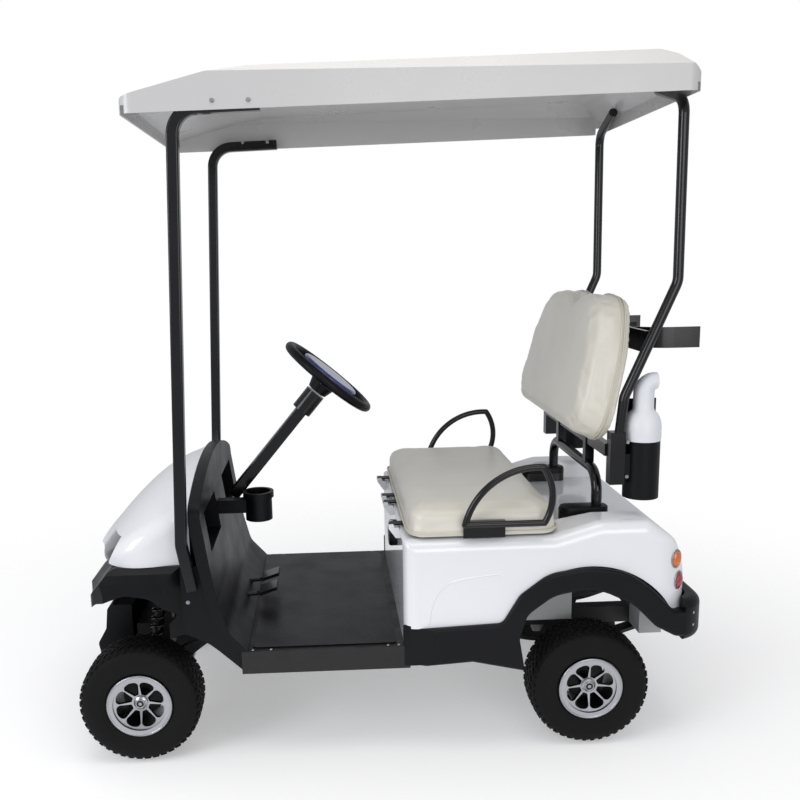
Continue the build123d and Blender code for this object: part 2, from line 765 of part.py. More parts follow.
def roof_outside(inset=0.0):
    """Roof as a full solid, less an inset on every side but the open bottom."""
    half = roof_half_width - inset
    top = rear_rim_height + roof_depth - inset
    length = roof_nose - roof_rear
    with BuildPart() as form:
        with BuildSketch(side_view(rear_axle_x, half)):
            add(rounded(roof_rows))
            if inset:
                offset(amount=-inset)
        extrude(amount=2 * half)
        # shoulders slope down to the side skirt, seen from the front
        with BuildSketch(front_view(rear_axle_x + roof_rear)):
            Polygon(
                (-half, front_rim_height - 60), (half, front_rim_height - 60), (half, top - roof_slope),
                (half - roof_slope, top), (roof_slope - half, top), (-half, top - roof_slope), align=None)
        extrude(amount=length, mode=Mode.INTERSECT)
        # rounded in plan at the corners
        with BuildSketch(Plane.XY.offset(floor_height + front_rim_height - 60)):
            with Locations((rear_axle_x + roof_rear + length / 2, 0)):
                RectangleRounded(length - 2 * inset, 2 * half, roof_corner - inset)
        extrude(amount=roof_rise + roof_depth + 100, mode=Mode.INTERSECT)
    return form.part


roof_mouth = (
    (roof_nose - roof_wall, front_rim_height - 20), (roof_nose - roof_wall, front_rim_height + 20),
    (roof_rear + roof_wall, rear_rim_height + 20), (roof_rear + roof_wall, rear_rim_height - 60),
)
with BuildPart() as roof:
    add(roof_outside())
    add(roof_outside(roof_wall), mode=Mode.SUBTRACT)
    add(across(roof_mouth, rear_axle_x, roof_half_width - roof_wall), mode=Mode.SUBTRACT)
roof.part.label = "roof"

# ---------------------------------------------------------------- bag rack and bottles
rack_end = rear_axle_x - rear_overhang
scallop_x = rack_end + 72
post_inside = rear_post_half_spacing - rear_post_diameter / 2
with BuildPart() as bag_rack:
    with BuildSketch(Plane.XY.offset(floor_height + rack_base)):
        for grow, way in ((rack_wall, Mode.ADD), (0, Mode.SUBTRACT)):
            for side in (-1, 1):
                with Locations((scallop_x, side * scallop_half_spacing)):
                    Circle(scallop_radius + grow, mode=way)
                with Locations((scallop_x - 60, side * scallop_half_spacing)):
                    Rectangle(120, 2 * (scallop_radius + grow), mode=way)
        with Locations((rack_end - 200, 0)):
            Rectangle(400, 4 * scallop_half_spacing + 100, mode=Mode.SUBTRACT)
        with Locations((rear_axle_x - prong_reach - 100, 0)):
            Rectangle(200, scallop_half_spacing, mode=Mode.SUBTRACT)
        with Locations((rear_axle_x - 147, 0)):
            Rectangle(12, 2 * post_inside)
    extrude(amount=rack_height)
bag_rack.part.label = "bag_rack"

holder_x = rear_axle_x + holder_place[0]
holder_base = floor_height + holder_place[2]
with BuildPart() as bottle_holders:
    for side in (-1, 1):
        spot = (holder_x, side * holder_place[1], holder_base)
        with Locations(spot):
            Cylinder(holder_diameter / 2, holder_height, align=(Align.CENTER, Align.CENTER, Align.MIN))
        lug_front = rear_axle_x + bracket_x - bracket_length / 2
        with Locations((lug_front, side * (rear_post_half_spacing - 4), holder_base + 90)):
            Box(lug_front - holder_x, 20, 70, align=(Align.MAX, Align.CENTER, Align.CENTER))
        with Locations((spot[0], spot[1], holder_base + holder_wall)):
            Cylinder(
                holder_diameter / 2 - holder_wall, holder_height,
                align=(Align.CENTER, Align.CENTER, Align.MIN), mode=Mode.SUBTRACT)
bottle_holders.part.label = "bottle_holders"

bottle_radius = holder_diameter / 2 - holder_wall - bottle_gap
bottle_foot = holder_place[2] + holder_wall
shoulder_foot = holder_place[2] + holder_height + 1
bottle_rows = (   # out from the axis, above the floor, corner radius
    (0, bottle_foot, 0), (bottle_radius, bottle_foot, 6), (bottle_radius, shoulder_foot, 0),
    (bottle_radius + 4, shoulder_foot, 0), (bottle_radius + 4, shoulder_foot + 44, 16),
    (29, shoulder_foot + 78, 12), (29, shoulder_foot + 124, 4), (11, shoulder_foot + 132, 4),
    (8, shoulder_foot + 156, 3), (0, shoulder_foot + 156, 0),
)
with BuildPart() as sand_bottles:
    for side in (-1, 1):
        with BuildSketch(side_view(holder_x, side * holder_place[1])):
            add(rounded(bottle_rows))
        revolve(axis=Axis((holder_x, side * holder_place[1], 0), (0, 0, 1)))
sand_bottles.part.label = "sand_bottles"

# ---------------------------------------------------------------- dash
dash_rows = (   # ahead of the front axle, above the floor, corner radius
    (-279, 0, 0), (-209, 88, 60), (-188, 188, 100), (-176, 252, 100), (-160, 368, 60),
    (-158, 520, 0), (-190, 520, 0), (-192, 378, 60), (-210, 248, 100), (-227, 148, 100),
    (-249, 61, 60), (dash_foot, 0, 0),
)
pocket_mouth = front_axle_x - 176
pocket_cut = 60.0          # opens the pocket through the panel
pocket_rows = (   # across, width, height above the floor, rise, depth
    (210.0, 230.0, 262.0, 112.0, 70.0),
    (-210.0, 230.0, 262.0, 112.0, 70.0),
)


def shoulder_corners(corners, half_width, shoulder):
    """The two shoulder corners among a sketch's corners."""
    return [
        vertex for vertex in corners
        if abs(abs(vertex.X) - half_width) < 0.1 and abs(vertex.Y - shoulder) < 0.1
    ]


def dash_solid():
    """Dash as a full band with an arched top."""
    with BuildPart() as form:
        add(across(dash_rows, front_axle_x, dash_half_width))
        with BuildSketch(front_view(front_axle_x - 350)):
            with BuildLine():
                Polyline(
                    (dash_half_width, dash_shoulder), (dash_half_width, 0),
                    (-dash_half_width, 0), (-dash_half_width, dash_shoulder))
                ThreePointArc((-dash_half_width, dash_shoulder), (0, dash_crown), (dash_half_width, dash_shoulder))
            make_face()
            fillet(shoulder_corners(vertices(), dash_half_width, dash_shoulder), 45)
        extrude(amount=300, mode=Mode.INTERSECT)
    return form.part


dash_full = dash_solid()
with BuildPart() as dash_panel:
    add(dash_full)
    for pocket_y, width, height, rise, depth in pocket_rows:
        middle = floor_height + height + rise / 2
        with Locations((pocket_mouth + depth / 2, pocket_y, middle)):
            Box(depth, width + 2 * panel_wall, rise + 2 * panel_wall)
    for pocket_y, width, height, rise, depth in pocket_rows:
        middle = floor_height + height + rise / 2
        with Locations((pocket_mouth + depth / 2 - panel_wall - pocket_cut / 2, pocket_y, middle)):
            Box(depth + pocket_cut, width, rise, mode=Mode.SUBTRACT)
dash_panel.part.label = "dash_panel"

# ---------------------------------------------------------------- cowl, fender, valance
cowl_half = body_half_width - cowl_inset
cowl_sections = (   # ahead of the front axle, half width, shoulder, crown, shoulder radius
    (-158, cowl_half, 404, 478, 60),
    (-64, cowl_half - 1, 352, 438, 60),
    (29, cowl_half - 8, 302, 367, 44),
    (74, cowl_half - 48, 274, 322, 24),
    (108, cowl_half - 140, 258, 284, 12),
    (132, cowl_half - 232, 251, 257, 6),
)


def cowl_outside(inset=0.0):
    """Cowl lofted through upright arched sections, less an inset but open below and behind."""
    with BuildPart() as form:
        for place, half, shoulder, crown, bend in cowl_sections:
            half = half - inset
            shift = 0 if place == cowl_sections[0][0] else inset
            with BuildSketch(front_view(front_axle_x + place - shift)):
                with BuildLine():
                    Polyline(
                        (half, shoulder - inset), (half, cowl_base - inset),
                        (-half, cowl_base - inset), (-half, shoulder - inset))
                    ThreePointArc((-half, shoulder - inset), (0, crown - inset), (half, shoulder - inset))
                make_face()
                fillet(shoulder_corners(vertices(), half, shoulder - inset), max(bend - inset, 1))
        loft()
    return form.part


lamp_inner = cowl_half - lamp_reach


def lamp_cut(base):
    """Side outline of the lens opening at the cowl's corners, down to a base."""
    rows = ((35, 314), (180, 272), (180, base), (73, base), (68, 253))
    return pair(rows, front_axle_x, lamp_inner, body_half_width)


with BuildPart() as front_cowl:
    add(cowl_outside())
    add(cowl_outside(panel_wall), mode=Mode.SUBTRACT)
    add(lamp_cut(cowl_base - 10), mode=Mode.SUBTRACT)
front_cowl.part.label = "front_cowl"

with BuildPart() as headlamps:
    add(lamp_cut(cowl_base + lens_gap))
    add(cowl_outside(lamp_recess), mode=Mode.INTERSECT)
    add(cowl_outside(lamp_recess + lens_depth), mode=Mode.SUBTRACT)
headlamps.part.label = "headlamps"

nose_reach = front_overhang
fender_half = body_half_width + fender_stand_out
fender_rows = (   # ahead of the front axle, above the floor, corner radius
    (-171, cowl_base, 0), (44, cowl_base, 0), (62, cowl_base - 7, 0), (98, 194, 60), (131, 150, 40),
    (nose_reach, 98, 12), (nose_reach, 78, 8), (nose_reach - 12, 62, 8), (99, 152, 40), (18, 182, 60),
    (-49, 170, 60), (-118, 112, 8), (-97, 92, 3), (-97, 51, 3), (-137, 50, 10),
    (-197, 19, 10), (-222, -2, 6), (floor_front, 4 - sill_depth, 0), (floor_front, -floor_plate, 0),
    (-275, 0, 0), (-205, 88, 0), (-184, 188, 0),
)
fender_inside = (   # the space behind the shell
    (-320, cowl_base - panel_wall, 0), (43, cowl_base - panel_wall, 0),
    (60, cowl_base - 7 - panel_wall, 0), (94, 190, 56), (127, 146, 36),
    (nose_reach - 6, 93, 8), (nose_reach - 6, -200, 0), (-320, -200, 0),
)


def fender_block(inset=0.0):
    """Fender and nose from above: bowed front, flared over the wheels, narrow at the posts."""
    left = (   # ahead of the front axle, across, corner radius
        (nose_reach - inset, 70, 120), (139 - inset, 272, 200), (114 - inset, 386 - inset, 40),
        (72 - inset, fender_half - inset, 0), (-84, fender_half - inset, 0),
        (-128, kick_half_width - inset, 0), (-320, kick_half_width - inset, 0),
    )
    right = [(x, -y, bend) for x, y, bend in reversed(left)]
    with BuildPart() as form:
        with BuildSketch(Plane.XY):
            with Locations((front_axle_x, 0)):
                add(rounded((*left, *right)))
        extrude(amount=floor_height + cowl_base)
    return form.part


def fender_section(inset=0.0):
    """Fender and nose seen from the front: brows over the wheels sloped in two facets."""
    half = fender_half - inset
    top = cowl_base - inset
    facets = ((0, 1), (0.19, 0.55), (0.51, 0.21), (1, 0))     # shares of the brow's width and drop
    left = [(half, -200)]
    left += [(half - inward * fender_brow, top - down * fender_drop) for inward, down in facets]
    right = [(-y, z) for y, z in reversed(left)]
    with BuildPart() as form:
        with BuildSketch(front_view(front_axle_x - 350)):
            Polygon(*left, *right, align=None)
        extrude(amount=600)
    return form.part


with BuildPart() as front_bumper:
    add(fender_block())
    add(across(fender_rows, front_axle_x, fender_half + 1), mode=Mode.INTERSECT)
    add(fender_section(), mode=Mode.INTERSECT)
    with BuildPart(mode=Mode.PRIVATE) as hollow:
        add(fender_block(panel_wall))
        add(across(fender_inside, front_axle_x, fender_half + 1), mode=Mode.INTERSECT)
        add(fender_section(panel_wall), mode=Mode.INTERSECT)
    add(hollow.part, mode=Mode.SUBTRACT)
front_bumper.part.label = "front_bumper"

valance_rows = (
    (56, 60, 0), (126, 60, 20), (134, -12, 20), (160, -57, 20), (150, -112, 30), (96, -162, 30),
    (56, -162, 0),
)
valance_inside = (
    (50, 56, 0), (122, 56, 16), (130, -12, 16), (156, -57, 16), (146, -110, 26), (95, -158, 26),
    (50, -158, 0),
)
with BuildPart() as front_valance:
    add(across(valance_rows, front_axle_x, valance_half_width))
    add(across(valance_inside, front_axle_x, valance_half_width - panel_wall), mode=Mode.SUBTRACT)
front_valance.part.label = "front_valance"

# ---------------------------------------------------------------- steering
column_top = Plane(
    origin=(front_axle_x + steering_centre[0], 0, floor_height + steering_centre[1]),
    x_dir=(0, 1, 0),
    z_dir=(-cos(radians(column_slope)), 0, sin(radians(column_slope))),
)
collar_top = 62.0
collar_length = 70.0
with BuildPart() as steering_column:
    with BuildSketch(column_top.offset(-collar_top)):
        Circle(column_size * 0.86)
    extrude(amount=-collar_length)
    with BuildSketch(column_top.offset(-collar_top - collar_length)):
        RectangleRounded(column_size, column_size, 4)
    extrude(amount=collar_top + collar_length - column_length)
    add(dash_full, mode=Mode.SUBTRACT)
steering_column.part.label = "steering_column"

with BuildPart() as steering_wheel:
    with BuildSketch(column_top.offset(-8)):
        Circle(46)
    extrude(amount=8 - collar_top + 6, taper=18)
    rim_radius_mid = (steering_wheel_diameter - steering_rim) / 2
    with BuildSketch(column_top.offset(-8)):
        Rectangle(2 * rim_radius_mid, 34)
        with Locations((0, rim_radius_mid / 2)):
            Rectangle(34, rim_radius_mid)
    extrude(amount=-9)
    with Locations(column_top):
        Torus(rim_radius_mid, steering_rim / 2)
steering_wheel.part.label = "steering_wheel"

pad_radius = 98.0
with BuildPart() as steering_pad:
    with BuildSketch(column_top.offset(-8)):
        Circle(pad_radius)
    extrude(amount=24)
    fillet(steering_pad.faces().sort_by(Axis.Z)[-1].edges(), 10)
steering_pad.part.label = "steering_pad"

cup_x = front_axle_x + cup_place[0]
cup_base = floor_height + cup_place[2]
with BuildPart() as cup_holder:
    with Locations((cup_x, cup_place[1], cup_base)):
        Cylinder(cup_radius, cup_depth, align=(Align.CENTER, Align.CENTER, Align.MIN))
    with Locations((cup_x, cup_place[1], cup_base + cup_depth)):
        Cylinder(cup_radius + cup_collar, 18, align=(Align.CENTER, Align.CENTER, Align.MAX))
    with Locations((cup_x + cup_radius - 6, cup_place[1], cup_base + cup_depth / 2)):
        Box(160, 34, 40, align=(Align.MIN, Align.CENTER, Align.CENTER))
    with Locations((cup_x, cup_place[1], cup_base + cup_wall)):
        Cylinder(cup_radius - cup_wall, cup_depth, align=(Align.CENTER, Align.CENTER, Align.MIN), mode=Mode.SUBTRACT)
    add(dash_full, mode=Mode.SUBTRACT)
    trim_x = front_axle_x - 200
    split(bisect_by=Plane(origin=(trim_x, 0, 0), z_dir=(1, 0, 0)), keep=Keep.BOTTOM)
cup_holder.part.label = "cup_holder"

with BuildPart() as pedals:
    for middle, width in ((-60, 62), (60, 70)):
        with Locations((front_axle_x - 340, middle, floor_height + 52)):
            Box(56, width, 10, rotation=(0, 18, 0))
        arm = bent_path([
            (front_axle_x - 345, middle, floor_height + 46), (front_axle_x - 305, middle, floor_height + 34),
            (front_axle_x - 240, middle, floor_height + 30)], 60)
        with BuildSketch(path_start(arm)):
            Circle(6)
        sweep(path=arm)
    add(dash_full, mode=Mode.SUBTRACT)
    split(bisect_by=Plane(origin=(front_axle_x - 262, 0, 0), z_dir=(1, 0, 0)), keep=Keep.BOTTOM)
pedals.part.label = "pedals"

# ---------------------------------------------------------------- knuckles and tie rod
arm_drop = 16.0
arm_end = front_axle_x - steering_arm
knuckles = []
for label, side in (("knuckle_left", 1), ("knuckle_right", -1)):
    with BuildPart() as knuckle:
        with Locations((front_axle_x, side * kingpin_half_spacing, axle_height)):
            Cylinder(knuckle_diameter / 2, knuckle_height)
        with BuildSketch(side_view(front_axle_x, side * kingpin_half_spacing, axle_height)):
            Circle(spindle_diameter / 2)
        extrude(amount=side * (kingpin_half_spacing - spindle_end))
        with Locations((front_axle_x - steering_arm / 2, side * kingpin_half_spacing, axle_height - arm_drop)):
            Box(steering_arm, arm_width, arm_thickness)
        with Locations((arm_end, side * kingpin_half_spacing, axle_height - arm_drop)):
            Cylinder(11, arm_thickness)
        with Locations((arm_end, side * kingpin_half_spacing, axle_height - arm_drop)):
            Cylinder(
                stud_diameter / 2, tie_rod_drop - arm_drop + 12,
                align=(Align.CENTER, Align.CENTER, Align.MAX))
        with Locations((front_axle_x, side * kingpin_half_spacing, axle_height)):
            Cylinder(kingpin_diameter / 2 + pin_gap, knuckle_height + 10, mode=Mode.SUBTRACT)
    knuckle.part.label = label
    knuckles.append(knuckle)

with BuildPart() as tie_rod:
    with BuildSketch(side_view(arm_end, kingpin_half_spacing - 6, axle_height - tie_rod_drop)):
        Circle(tie_rod_diameter / 2)
    extrude(amount=2 * (kingpin_half_spacing - 6))
    for side in (-1, 1):
        with Locations((arm_end, side * kingpin_half_spacing, axle_height - tie_rod_drop)):
            Cylinder(11, tie_rod_diameter)
    for side in (-1, 1):
        with Locations((arm_end, side * kingpin_half_spacing, axle_height - tie_rod_drop)):
            Cylinder(stud_diameter / 2 + pin_gap, tie_rod_diameter + 2, mode=Mode.SUBTRACT)
tie_rod.part.label = "tie_rod"

# ---------------------------------------------------------------- wheels
rim_radius = rim_diameter / 2
tyre_radius = tyre_diameter / 2
rim_half = rim_width / 2
barrel = rim_radius - rim_wall
petal_inner = hub_diameter / 2 + 5
petal_outer = barrel - 2
pitch_inner = 2 * petal_inner * sin(radians(180 / rim_spokes))
pitch_outer = 2 * petal_outer * sin(radians(180 / rim_spokes))
tyre_rows = (   # outward from the wheel's middle plane, out from the axle, corner radius
    (-rim_half, rim_radius, 0), (rim_half, rim_radius, 0), (rim_half, rim_radius + 14, 6),
    (tyre_width / 2, rim_radius + 40, 30), (tyre_width / 2 - 1, tyre_radius - 22, 20),
    (tyre_width / 2 - tyre_shoulder, tyre_radius - 1, 14), (0, tyre_radius, 0),
    (tyre_shoulder - tyre_width / 2, tyre_radius - 1, 14), (1 - tyre_width / 2, tyre_radius - 22, 20),
    (-tyre_width / 2, rim_radius + 40, 30), (-rim_half, rim_radius + 14, 6),
)
barrel_rows = (
    (-rim_half - rim_flange, rim_radius + rim_flange_height), (-rim_half, rim_radius + rim_flange_height),
    (-rim_half, rim_radius), (rim_half, rim_radius), (rim_half, rim_radius + rim_flange_height),
    (rim_half + rim_flange, rim_radius + rim_flange_height), (rim_half + rim_flange, barrel),
    (-rim_half - rim_flange, barrel),
)
disc_rows = (   # a shallow cone from the lip in to the hub
    (rim_half - 1, rim_radius - 1), (rim_half - 1 - spoke_disc, rim_radius - 1),
    (rim_half - 16 - spoke_disc, hub_diameter / 2 - 4), (rim_half - 16, hub_diameter / 2 - 4),
)
hub_rows = (
    (rim_half - 10, 0), (rim_half - 10, hub_diameter / 2 - 6), (rim_half - 14, hub_diameter / 2),
    (rim_half - hub_length, hub_diameter / 2), (rim_half - hub_length, 0),
)
petal_rows = (   # along a spoke gap, across it, corner radius
    (petal_inner, (spoke_width - pitch_inner) / 2, 3),
    (petal_outer - 10, (spoke_width - pitch_outer) / 2, 11), (petal_outer, 0, 30),
    (petal_outer - 10, (pitch_outer - spoke_width) / 2, 11),
    (petal_inner, (pitch_inner - spoke_width) / 2, 3),
)
wheel_places = (   # name, axle x, side
    ("front_left", front_axle_x, 1), ("front_right", front_axle_x, -1),
    ("rear_left", rear_axle_x, 1), ("rear_right", rear_axle_x, -1),
)
wheel_nodes = []
for place, axle_x, side in wheel_places:
    hub_plane = Plane(
        origin=(axle_x, side * track_half, axle_height), x_dir=(0, side, 0), z_dir=(side, 0, 0))
    spin = Axis((axle_x, 0, axle_height), (0, 1, 0))
    with BuildPart() as tyre:
        with BuildSketch(hub_plane):
            add(rounded(tyre_rows))
        revolve(axis=spin)
    tyre.part.label = "tyre_" + place
    with BuildPart() as rim:
        with BuildSketch(hub_plane):
            for rows in (barrel_rows, disc_rows, hub_rows):
                add(rounded(rows))
        revolve(axis=spin)
        with BuildSketch(side_view(axle_x, side * (track_half + rim_half + 10), axle_height)):
            with PolarLocations(0, rim_spokes, start_angle=180 / rim_spokes):
                add(rounded(petal_rows))
        extrude(amount=side * 60, mode=Mode.SUBTRACT)
        with BuildSketch(side_view(axle_x, side * (track_half + 30), axle_height)):
            Circle(spindle_diameter / 2 + pin_gap)
        extrude(amount=side * 2 * rim_half, mode=Mode.SUBTRACT)
    rim.part.label = "rim_" + place
    wheel_nodes += [tyre, rim]

# ---------------------------------------------------------------- export
for node in (
    chassis_frame, floor_pan, floor_mat, battery_pack, rear_axle, front_axle, front_springs,
    rear_springs, rear_body, rear_fenders, rear_bumper, *rear_lamps, charge_socket, seat_hinges, seat_board,
    seat_cushion, armrests, backrest_cushion, backrest_back, seat_back_frame, rear_posts,
    front_posts, roof, bag_rack, bottle_holders, sand_bottles, dash_panel, front_cowl, headlamps,
    front_bumper, front_valance, steering_column, steering_wheel, steering_pad, cup_holder,
    pedals, *knuckles, tie_rod, *wheel_nodes,
):
    export_step(node.part, "parts/" + node.part.label + ".step")
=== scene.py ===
import math

import bmesh
import bpy
from mathutils import Matrix, Vector


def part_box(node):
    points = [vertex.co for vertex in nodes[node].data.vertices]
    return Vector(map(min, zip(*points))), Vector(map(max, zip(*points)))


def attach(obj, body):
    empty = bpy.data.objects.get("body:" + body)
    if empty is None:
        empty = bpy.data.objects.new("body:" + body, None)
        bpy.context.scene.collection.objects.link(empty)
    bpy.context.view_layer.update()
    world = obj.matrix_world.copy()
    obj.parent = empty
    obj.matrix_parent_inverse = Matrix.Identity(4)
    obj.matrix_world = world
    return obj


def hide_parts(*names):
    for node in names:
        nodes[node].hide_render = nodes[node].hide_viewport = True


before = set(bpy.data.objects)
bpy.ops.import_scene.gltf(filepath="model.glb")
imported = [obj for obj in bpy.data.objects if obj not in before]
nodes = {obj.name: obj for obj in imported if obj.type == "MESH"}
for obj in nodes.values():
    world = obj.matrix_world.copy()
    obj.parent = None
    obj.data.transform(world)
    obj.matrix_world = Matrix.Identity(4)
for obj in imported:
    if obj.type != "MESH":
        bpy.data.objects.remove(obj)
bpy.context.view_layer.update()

# ------------------------------------------------------------------ places, measured from the rear axle
scene = bpy.context.scene


def centre(node):
    """Middle of a CAD node's box."""
    low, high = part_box(node)
    return (Vector(low) + Vector(high)) / 2


rear_x = centre("tyre_rear_left").x
front_x = centre("tyre_front_left").x


def at(x, y, z):
    """Point x mm ahead of the rear axle, y mm to the left and z mm above the ground."""
    return Vector((rear_x + x / 1000, y / 1000, z / 1000))


SIDES = (("left", 1), ("right", -1))

# ------------------------------------------------------------------ materials


def rgb(code):
    """Linear colour of an sRGB hex code."""
    parts = [int(code[i:i + 2], 16) / 255 for i in (1, 3, 5)]
    return tuple(p / 12.92 if p <= 0.04045 else ((p + 0.055) / 1.055) ** 2.4 for p in parts) + (1.0,)


def add_node(tree, kind, inputs=None, **settings):
    """Adds a node with its settings; an input is a number, a colour or another node's output."""
    node = tree.nodes.new(kind)
    for name, value in settings.items():
        setattr(node, name, value)
    for name, value in (inputs or {}).items():
        if isinstance(value, bpy.types.NodeSocket):
            tree.links.new(value, node.inputs[name])
        else:
            node.inputs[name].default_value = value
    return node


MIX_A, MIX_B, MIX_OUT = 6, 7, 2     # colour sockets of a Mix node


def finish(name, colour, patch, rough, grain_mm, depth_mm, cloud_mm=60, rough_spread=0.08,
           cells=False, **sockets):
    """A surface whose colour and gloss drift in soft clouds over a fine relief of grain_mm."""
    material = bpy.data.materials.new(name)
    material.use_nodes = True
    tree = material.node_tree
    tree.nodes.clear()
    place = add_node(tree, "ShaderNodeTexCoord").outputs["Object"]
    clouds = add_node(tree, "ShaderNodeTexNoise", {
        "Vector": place, "Scale": 1000 / cloud_mm, "Detail": 5.0, "Roughness": 0.6})
    tint = add_node(tree, "ShaderNodeMix", {
        0: clouds.outputs["Fac"], MIX_A: rgb(colour), MIX_B: rgb(patch)}, data_type="RGBA")
    gloss = add_node(tree, "ShaderNodeMapRange", {
        "Value": clouds.outputs["Fac"], "From Min": 0.3, "From Max": 0.7,
        "To Min": max(rough - rough_spread, 0.02), "To Max": rough + rough_spread})
    if cells:
        grain = add_node(tree, "ShaderNodeTexVoronoi", {"Vector": place, "Scale": 1000 / grain_mm})
        height = grain.outputs["Distance"]
    else:
        grain = add_node(tree, "ShaderNodeTexNoise", {
            "Vector": place, "Scale": 1000 / grain_mm, "Detail": 3.0})
        height = grain.outputs["Fac"]
    relief = add_node(tree, "ShaderNodeBump", {
        "Strength": 1.0, "Distance": depth_mm / 1000, "Height": height})
    shader = add_node(tree, "ShaderNodeBsdfPrincipled", {
        "Base Color": tint.outputs[MIX_OUT], "Roughness": gloss.outputs["Result"],
        "Normal": relief.outputs["Normal"], **sockets})
    add_node(tree, "ShaderNodeOutputMaterial", {"Surface": shader.outputs["BSDF"]})
    return material


# Glass-fibre body in white gelcoat: a deep clear gloss over a faint ripple.
gelcoat = finish("white_gelcoat", "#EBEBED", "#E4E5E9", 0.16, 45, 0.12, 220, 0.03,
                 **{"Coat Weight": 0.6, "Coat Roughness": 0.04})
# Vacuum-formed ABS roof: paler gloss, a little grey.
roof_abs = finish("grey_white_abs", "#C9C8C7", "#C1C0BF", 0.30, 60, 0.04, 300, 0.05,
                  **{"Coat Weight": 0.25, "Coat Roughness": 0.15})
# Textured polypropylene trim: grain drawn at 2.4 mm so that it shows.
trim_pp = finish("textured_polypropylene", "#07080A", "#0A0B0E", 0.40, 2.4, 0.16, 120, 0.06,
                 **{"Specular IOR Level": 0.2})
# Powder-coated steel tube: thick black gloss with a faint orange peel.
coated_tube = finish("black_powder_coat", "#050506", "#08080A", 0.22, 7, 0.05, 90, 0.05,
                     **{"Specular IOR Level": 0.35, "Coat Weight": 0.25, "Coat Roughness": 0.10})
# Frame paint below the body: duller, dusty.
frame_paint = finish("dusty_frame_paint", "#08080A", "#100F0F", 0.5, 12, 0.08, 60, 0.1)
# Rubber floor mat: satin with a fine pebble.
mat_rubber = finish("pebbled_rubber_mat", "#060607", "#0A0A0B", 0.34, 5, 0.25, 150, 0.08, cells=True,
                    **{"Specular IOR Level": 0.2})
# Vulcanised tyre rubber: dull, with a bloom in patches.
tyre_rubber = finish("vulcanised_rubber", "#0A0A0A", "#131312", 0.66, 6, 0.12, 45, 0.08,
                     **{"Specular IOR Level": 0.15})
# Cream PVC on foam: leather grain drawn at 2.2 mm, soft gloss.
vinyl = finish("cream_grained_vinyl", "#DAD7CC", "#D0CCBE", 0.36, 2.2, 0.22, 130, 0.07, cells=True,
               **{"Sheen Weight": 0.15, "Coat Weight": 0.15, "Coat Roughness": 0.25})
welt = finish("cream_welt_vinyl", "#CFCBBC", "#C4BFAE", 0.42, 1.8, 0.1, 60, 0.06)
# Machined and clear-coated aluminium.
alloy = finish("machined_aluminium", "#B4B5B9", "#A4A5AA", 0.25, 3, 0.02, 40, 0.06, Metallic=1.0)
# Black paint in the wheel's pockets.
pocket_paint = finish("black_wheel_paint", "#040405", "#08080A", 0.28, 9, 0.03, 50, 0.05)
# Zinc-plated fasteners.
zinc = finish("zinc_plated_steel", "#B4B6B8", "#8E9092", 0.32, 2, 0.03, 12, 0.1, Metallic=1.0)
# Blued gloss on the steering pad.
pad_gloss = finish("blue_gloss_abs", "#17387E", "#2A2F7A", 0.18, 30, 0.04, 70, 0.05,
                   **{"Coat Weight": 0.7, "Coat Roughness": 0.05})
# Blow-moulded polyethylene bottle: milky and soft.
bottle_pe = finish("milky_polyethylene", "#E6E7EA", "#DADCE0", 0.38, 25, 0.12, 80, 0.05,
                   **{"Subsurface Weight": 0.15, "Subsurface Scale": 0.01})
smoked_lens = finish("smoked_polycarbonate", "#0B0C0F", "#15171B", 0.10, 25, 0.05, 60, 0.03,
                     **{"Coat Weight": 0.8, "Coat Roughness": 0.03})
amber_lens = finish("amber_acrylic", "#E07A1C", "#B8530E", 0.12, 5, 0.6, 12, 0.04, cells=True,
                    **{"Coat Weight": 0.8, "Coat Roughness": 0.04})
red_lens = finish("red_acrylic", "#B4303A", "#7E1A28", 0.12, 5, 0.6, 12, 0.04, cells=True,
                  **{"Coat Weight": 0.8, "Coat Roughness": 0.04})
battery_case = finish("grey_battery_case", "#B9BBBB", "#A9ABAA", 0.42, 5, 0.1, 70, 0.08)


def wheel_finish():
    """Aluminium on the faces cut by the lathe, black paint in the pockets and on the barrel."""
    material = bpy.data.materials.new("lathe_cut_wheel")
    material.use_nodes = True
    tree = material.node_tree
    tree.nodes.clear()
    coords = add_node(tree, "ShaderNodeTexCoord")
    facing = add_node(tree, "ShaderNodeSeparateXYZ", {"Vector": coords.outputs["Normal"]})
    outward = add_node(tree, "ShaderNodeMath", {0: facing.outputs["Y"]}, operation="ABSOLUTE")
    cut = add_node(tree, "ShaderNodeMapRange", {
        "Value": outward.outputs["Value"], "From Min": 0.72, "From Max": 0.82})
    grain = add_node(tree, "ShaderNodeTexNoise", {
        "Vector": coords.outputs["Object"], "Scale": 260.0, "Detail": 3.0})
    tint = add_node(tree, "ShaderNodeMix", {
        0: cut.outputs["Result"], MIX_A: rgb("#040405"), MIX_B: rgb("#B0B1B5")}, data_type="RGBA")
    gloss = add_node(tree, "ShaderNodeMapRange", {
        "Value": grain.outputs["Fac"], "To Min": 0.22, "To Max": 0.36})
    shader = add_node(tree, "ShaderNodeBsdfPrincipled", {
        "Base Color": tint.outputs[MIX_OUT], "Metallic": cut.outputs["Result"],
        "Roughness": gloss.outputs["Result"]})
    add_node(tree, "ShaderNodeOutputMaterial", {"Surface": shader.outputs["BSDF"]})
    return material


lathe_cut = wheel_finish()

# ------------------------------------------------------------------ making pieces


def keep(name, bm, material, body, slot, sharp=35, stands_for=()):
    """Turns a bmesh into a finished piece that rides on a body."""
    bmesh.ops.remove_doubles(bm, verts=bm.verts, dist=1e-6)
    bmesh.ops.recalc_face_normals(bm, faces=bm.faces)
    mesh = bpy.data.meshes.new(name)
    bm.to_mesh(mesh)
    bm.free()
    return place(name, mesh, material, body, slot, sharp, stands_for)


